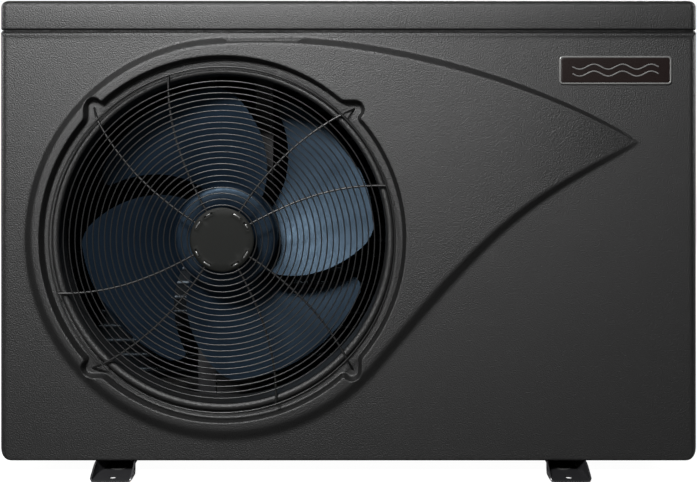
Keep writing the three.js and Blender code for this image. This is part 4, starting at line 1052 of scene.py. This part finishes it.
def pressure_gauge():
    """A steel case with a dial and its marks, without figures."""
    centre = centre_xz(GAUGE_LO, GAUGE_HI)
    back, front = GAUGE_LO[1], GAUGE_HI[1]
    face = front - 10
    shell = rounded_profile([(3, back), (22, back), (24, back + 4), (27, REAR_Y - 2), (27, front),
                             (24, front), (24, face), (3, face)], 1.2)
    make_object("gauge_case", lathe(shell, centre), "bright_steel", replaces="pressure_gauge")
    dial = [(3.1, face + 0.1), (23.6, face + 0.1), (23.6, face + 0.8), (3.1, face + 0.8)]
    make_object("gauge_dial", lathe(dial, centre), "pvc", look="dial")
    marks = []
    for k in range(19):
        a = math.radians(135 + 15 * k)
        length = 4.5 if k % 3 == 0 else 2.6
        radial = np.array([math.sin(a), math.cos(a)])
        ends = np.array([centre + radial * (21.5 - length), centre + radial * 21.5])
        marks.append(sweep(at_depth(ends, face + 0.8), 0.35, 6))
    make_object("gauge_marks", join(marks), "black_plastic")


def needle():
    lo, hi = node_box("gauge_needle")
    x, z = lo[0] + 5.5, (lo[2] + hi[2]) / 2
    hub = rounded_profile([(3.4, lo[1]), (5.4, lo[1]), (5.4, hi[1]), (3.4, hi[1])], 0.4)
    blade = np.array([(x + 4.6, z - 1.0), (hi[0], z - 0.25), (hi[0], z + 0.25), (x + 4.6, z + 1.0)])
    pointer = loft([at_depth(blade, y) for y in (lo[1] + 0.2, lo[1] + 1.1)])
    make_object("gauge_pointer_needle", join([lathe(hub, (x, z), segments=36), pointer]), "needle",
                "gauge_pointer", replaces="gauge_needle")


def gauge_lens():
    lo, hi = node_box("gauge_lens")
    radius = (hi[0] - lo[0]) / 2
    dome = [(0.01, lo[1]), (radius, lo[1]), (radius, hi[1] - 1.2), (radius * 0.8, hi[1] - 0.4),
            (0.01, hi[1])]
    make_object("gauge_window", lathe(dome, centre_xz(lo, hi), segments=60, closed=False), "clear",
                replaces="gauge_lens")


def display():
    """A case with four keys, its screen and the clear door over both."""
    x1 = DISPLAY_HI[0]
    y0, y1, z0, z1 = DISPLAY_LO[1], DISPLAY_HI[1], DISPLAY_LO[2], DISPLAY_HI[2]
    parts = [box_part(DISPLAY_LO[0], x1 - 1.5, y0, y1, z0, z1, 2.0, 3)]
    for y in np.linspace(y0 + 24, y1 - 24, 4):
        parts.append(box_part(x1 - 3, x1 - 0.2, y - 7, y + 7, z0 + 22, z0 + 36, 1.2, 3))
    make_object("display_case", join(parts), "black_plastic", replaces="display_unit")
    screen = box_part(x1 - 3, x1 - 0.6, y0 + 20, y1 - 20, z0 + 56, z1 - 22, 0.8, 2)
    make_object("display_screen", screen, "black_plastic", look="screen")
    door = box_part(DOOR_LO[0], DOOR_HI[0], DOOR_LO[1], DOOR_HI[1], DOOR_LO[2], DOOR_HI[2], 0.6, 3)
    make_object("display_door_pane", door, "clear", "display_door", replaces="display_cover")


def gland():
    """A stepped body through a six-sided nut."""
    centre = centre_xz(GLAND_LO, GLAND_HI)
    y0, y1 = GLAND_LO[1], GLAND_HI[1]
    seat = REAR_Y + 0.3
    body = rounded_profile([(5, y0), (8.4, y0), (8.4, seat), (11, seat), (11, REAR_Y + 8),
                            (9.4, REAR_Y + 10), (8.6, y1), (5, y1)], 1.0)
    nut = loft([at_depth(circle_outline(*centre, r, 6), y) for y, r in
                ((seat, 12.4), (REAR_Y + 1.0, 13), (REAR_Y + 6.4, 13), (REAR_Y + 7.2, 12.4))])
    make_object("gland_body", join([lathe(body, centre, segments=48), nut]), "black_plastic",
                sharp=30, replaces="cable_gland")


# ---- carried-over CAD nodes

def dress_cad_nodes():
    """Gives every CAD node that still shows the material of its slot."""
    slots = {row["node"]: row["material_slot"] for row in frame["record"]["subparts"]}
    for name, obj in frame["nodes"].items():
        if obj.hide_render:
            continue
        obj.data.materials.clear()
        obj.data.materials.append(MATERIALS[slots[name]])


# ---- studio

FLOOR_GLOW = 0.98
FLOOR_REFLECTANCE = 0.12
AMBIENT = 0.05


def area_light(name, location, target, size, power):
    data = bpy.data.lights.new(name, "AREA")
    data.shape = "RECTANGLE"
    data.size, data.size_y = size
    data.energy = power
    light = bpy.data.objects.new(name, data)
    light.location = location
    light.rotation_euler = (Vector(target) - Vector(location)).to_track_quat("-Z", "Y").to_euler()
    bpy.context.scene.collection.objects.link(light)


def pale_floor():
    """White to the camera but dark to the object, whose front would else be lit from below."""
    mesh = bpy.data.meshes.new("studio_floor")
    mesh.from_pydata([(-6, -6, 0), (6, -6, 0), (6, 6, 0), (-6, 6, 0)], [], [(0, 1, 2, 3)])
    floor = bpy.data.objects.new("studio_floor", mesh)
    floor.location.z = -0.0005
    bpy.context.scene.collection.objects.link(floor)
    material, tree, shader = nodes_of("floor_paint")
    shader.inputs["Base Color"].default_value = (*[FLOOR_REFLECTANCE] * 3, 1)
    shader.inputs["Roughness"].default_value = 0.9
    shader.inputs["Specular IOR Level"].default_value = 0.0
    shader.inputs["Emission Color"].default_value = (1, 1, 1, 1)
    rays = tree.nodes.new("ShaderNodeLightPath")
    glow = tree.nodes.new("ShaderNodeMath")
    glow.operation = "MULTIPLY"
    glow.inputs[1].default_value = FLOOR_GLOW
    tree.links.new(rays.outputs["Is Camera Ray"], glow.inputs[0])
    tree.links.new(glow.outputs["Value"], shader.inputs["Emission Strength"])
    floor.data.materials.append(material)


def pale_backdrop():
    """White where the camera sees it and a faint ambient light elsewhere."""
    world = bpy.data.worlds.new("studio_world")
    bpy.context.scene.world = world
    world.use_nodes = True
    tree = world.node_tree
    background = tree.nodes["Background"]
    background.inputs["Color"].default_value = (1, 1, 1, 1)
    rays = tree.nodes.new("ShaderNodeLightPath")
    strength = tree.nodes.new("ShaderNodeMapRange")
    strength.inputs["To Min"].default_value = AMBIENT
    strength.inputs["To Max"].default_value = 1.0
    tree.links.new(rays.outputs["Is Camera Ray"], strength.inputs["Value"])
    tree.links.new(strength.outputs["Result"], background.inputs["Strength"])


def studio():
    pale_floor()
    pale_backdrop()
    area_light("key", (-0.486, -1.75, 1.52), (-0.1, -0.2, 0.4), (0.45, 0.35), 112)
    area_light("fill", (2.4, -2.2, 1.0), (0, 0, 0.3), (1.2, 1.2), 0.5)
    area_light("back", (0.7, 2.6, 1.5), (0, 0.2, 0.4), (1.6, 1.2), 110)
    area_light("right_side", (2.5, 0.7, 1.2), (0.5, 0.1, 0.4), (1.0, 1.0), 30)
    area_light("left_side", (-2.5, 0.7, 1.2), (-0.5, 0.1, 0.4), (1.0, 1.0), 30)
    bpy.context.scene.view_settings.view_transform = "Standard"


CAMERA_PLACE = (0.0, -1.7, 0.5)
CAMERA_SHIFT = -0.1605


def camera():
    """Level camera; its lens is shifted down, as in a product shot with upright verticals."""
    data = bpy.data.cameras.new("camera")
    data.sensor_width = 36
    data.lens = 53.65
    obj = bpy.data.objects.new("camera", data)
    obj.location = CAMERA_PLACE
    obj.rotation_euler = (math.radians(90), 0, 0)
    bpy.context.scene.collection.objects.link(obj)
    bpy.context.scene.camera = obj
    shift_at_front(data, obj)


def shift_at_front(data, obj):
    """Ties the shift to the front view: once the camera is moved along Y, its lens is centred.

    Without this, views from other angles would be framed off centre and cut the object.
    """
    curve = data.driver_add("shift_y")
    curve.driver.type = "SUM"
    variable = curve.driver.variables.new()
    variable.type = "TRANSFORMS"
    variable.targets[0].id = obj
    variable.targets[0].transform_type = "LOC_Y"
    variable.targets[0].transform_space = "WORLD_SPACE"
    curve.modifiers.remove(curve.modifiers[0])  # the straight line that a new driver comes with
    reach = 0.0005
    front = CAMERA_PLACE[1]
    steps = ((front - 2 * reach, 0), (front - reach, CAMERA_SHIFT), (front + reach, 0))
    curve.keyframe_points.add(len(steps))
    for key, step in zip(curve.keyframe_points, steps):
        key.co = step
        key.interpolation = "CONSTANT"


front_panel()
venturi_ring()
fan_guard()
hub_plate()
fan_wheel()
top_cover()
left_side()
right_side()
rear_panel()
rear_coil_guard()
badge()
foot_rail("foot_rail_left")
foot_rail("foot_rail_right")
evaporator()
union("inlet")
union("outlet")
pressure_gauge()
needle()
gauge_lens()
display()
gland()
dress_cad_nodes()
studio()
camera()

bpy.context.view_layer.update()
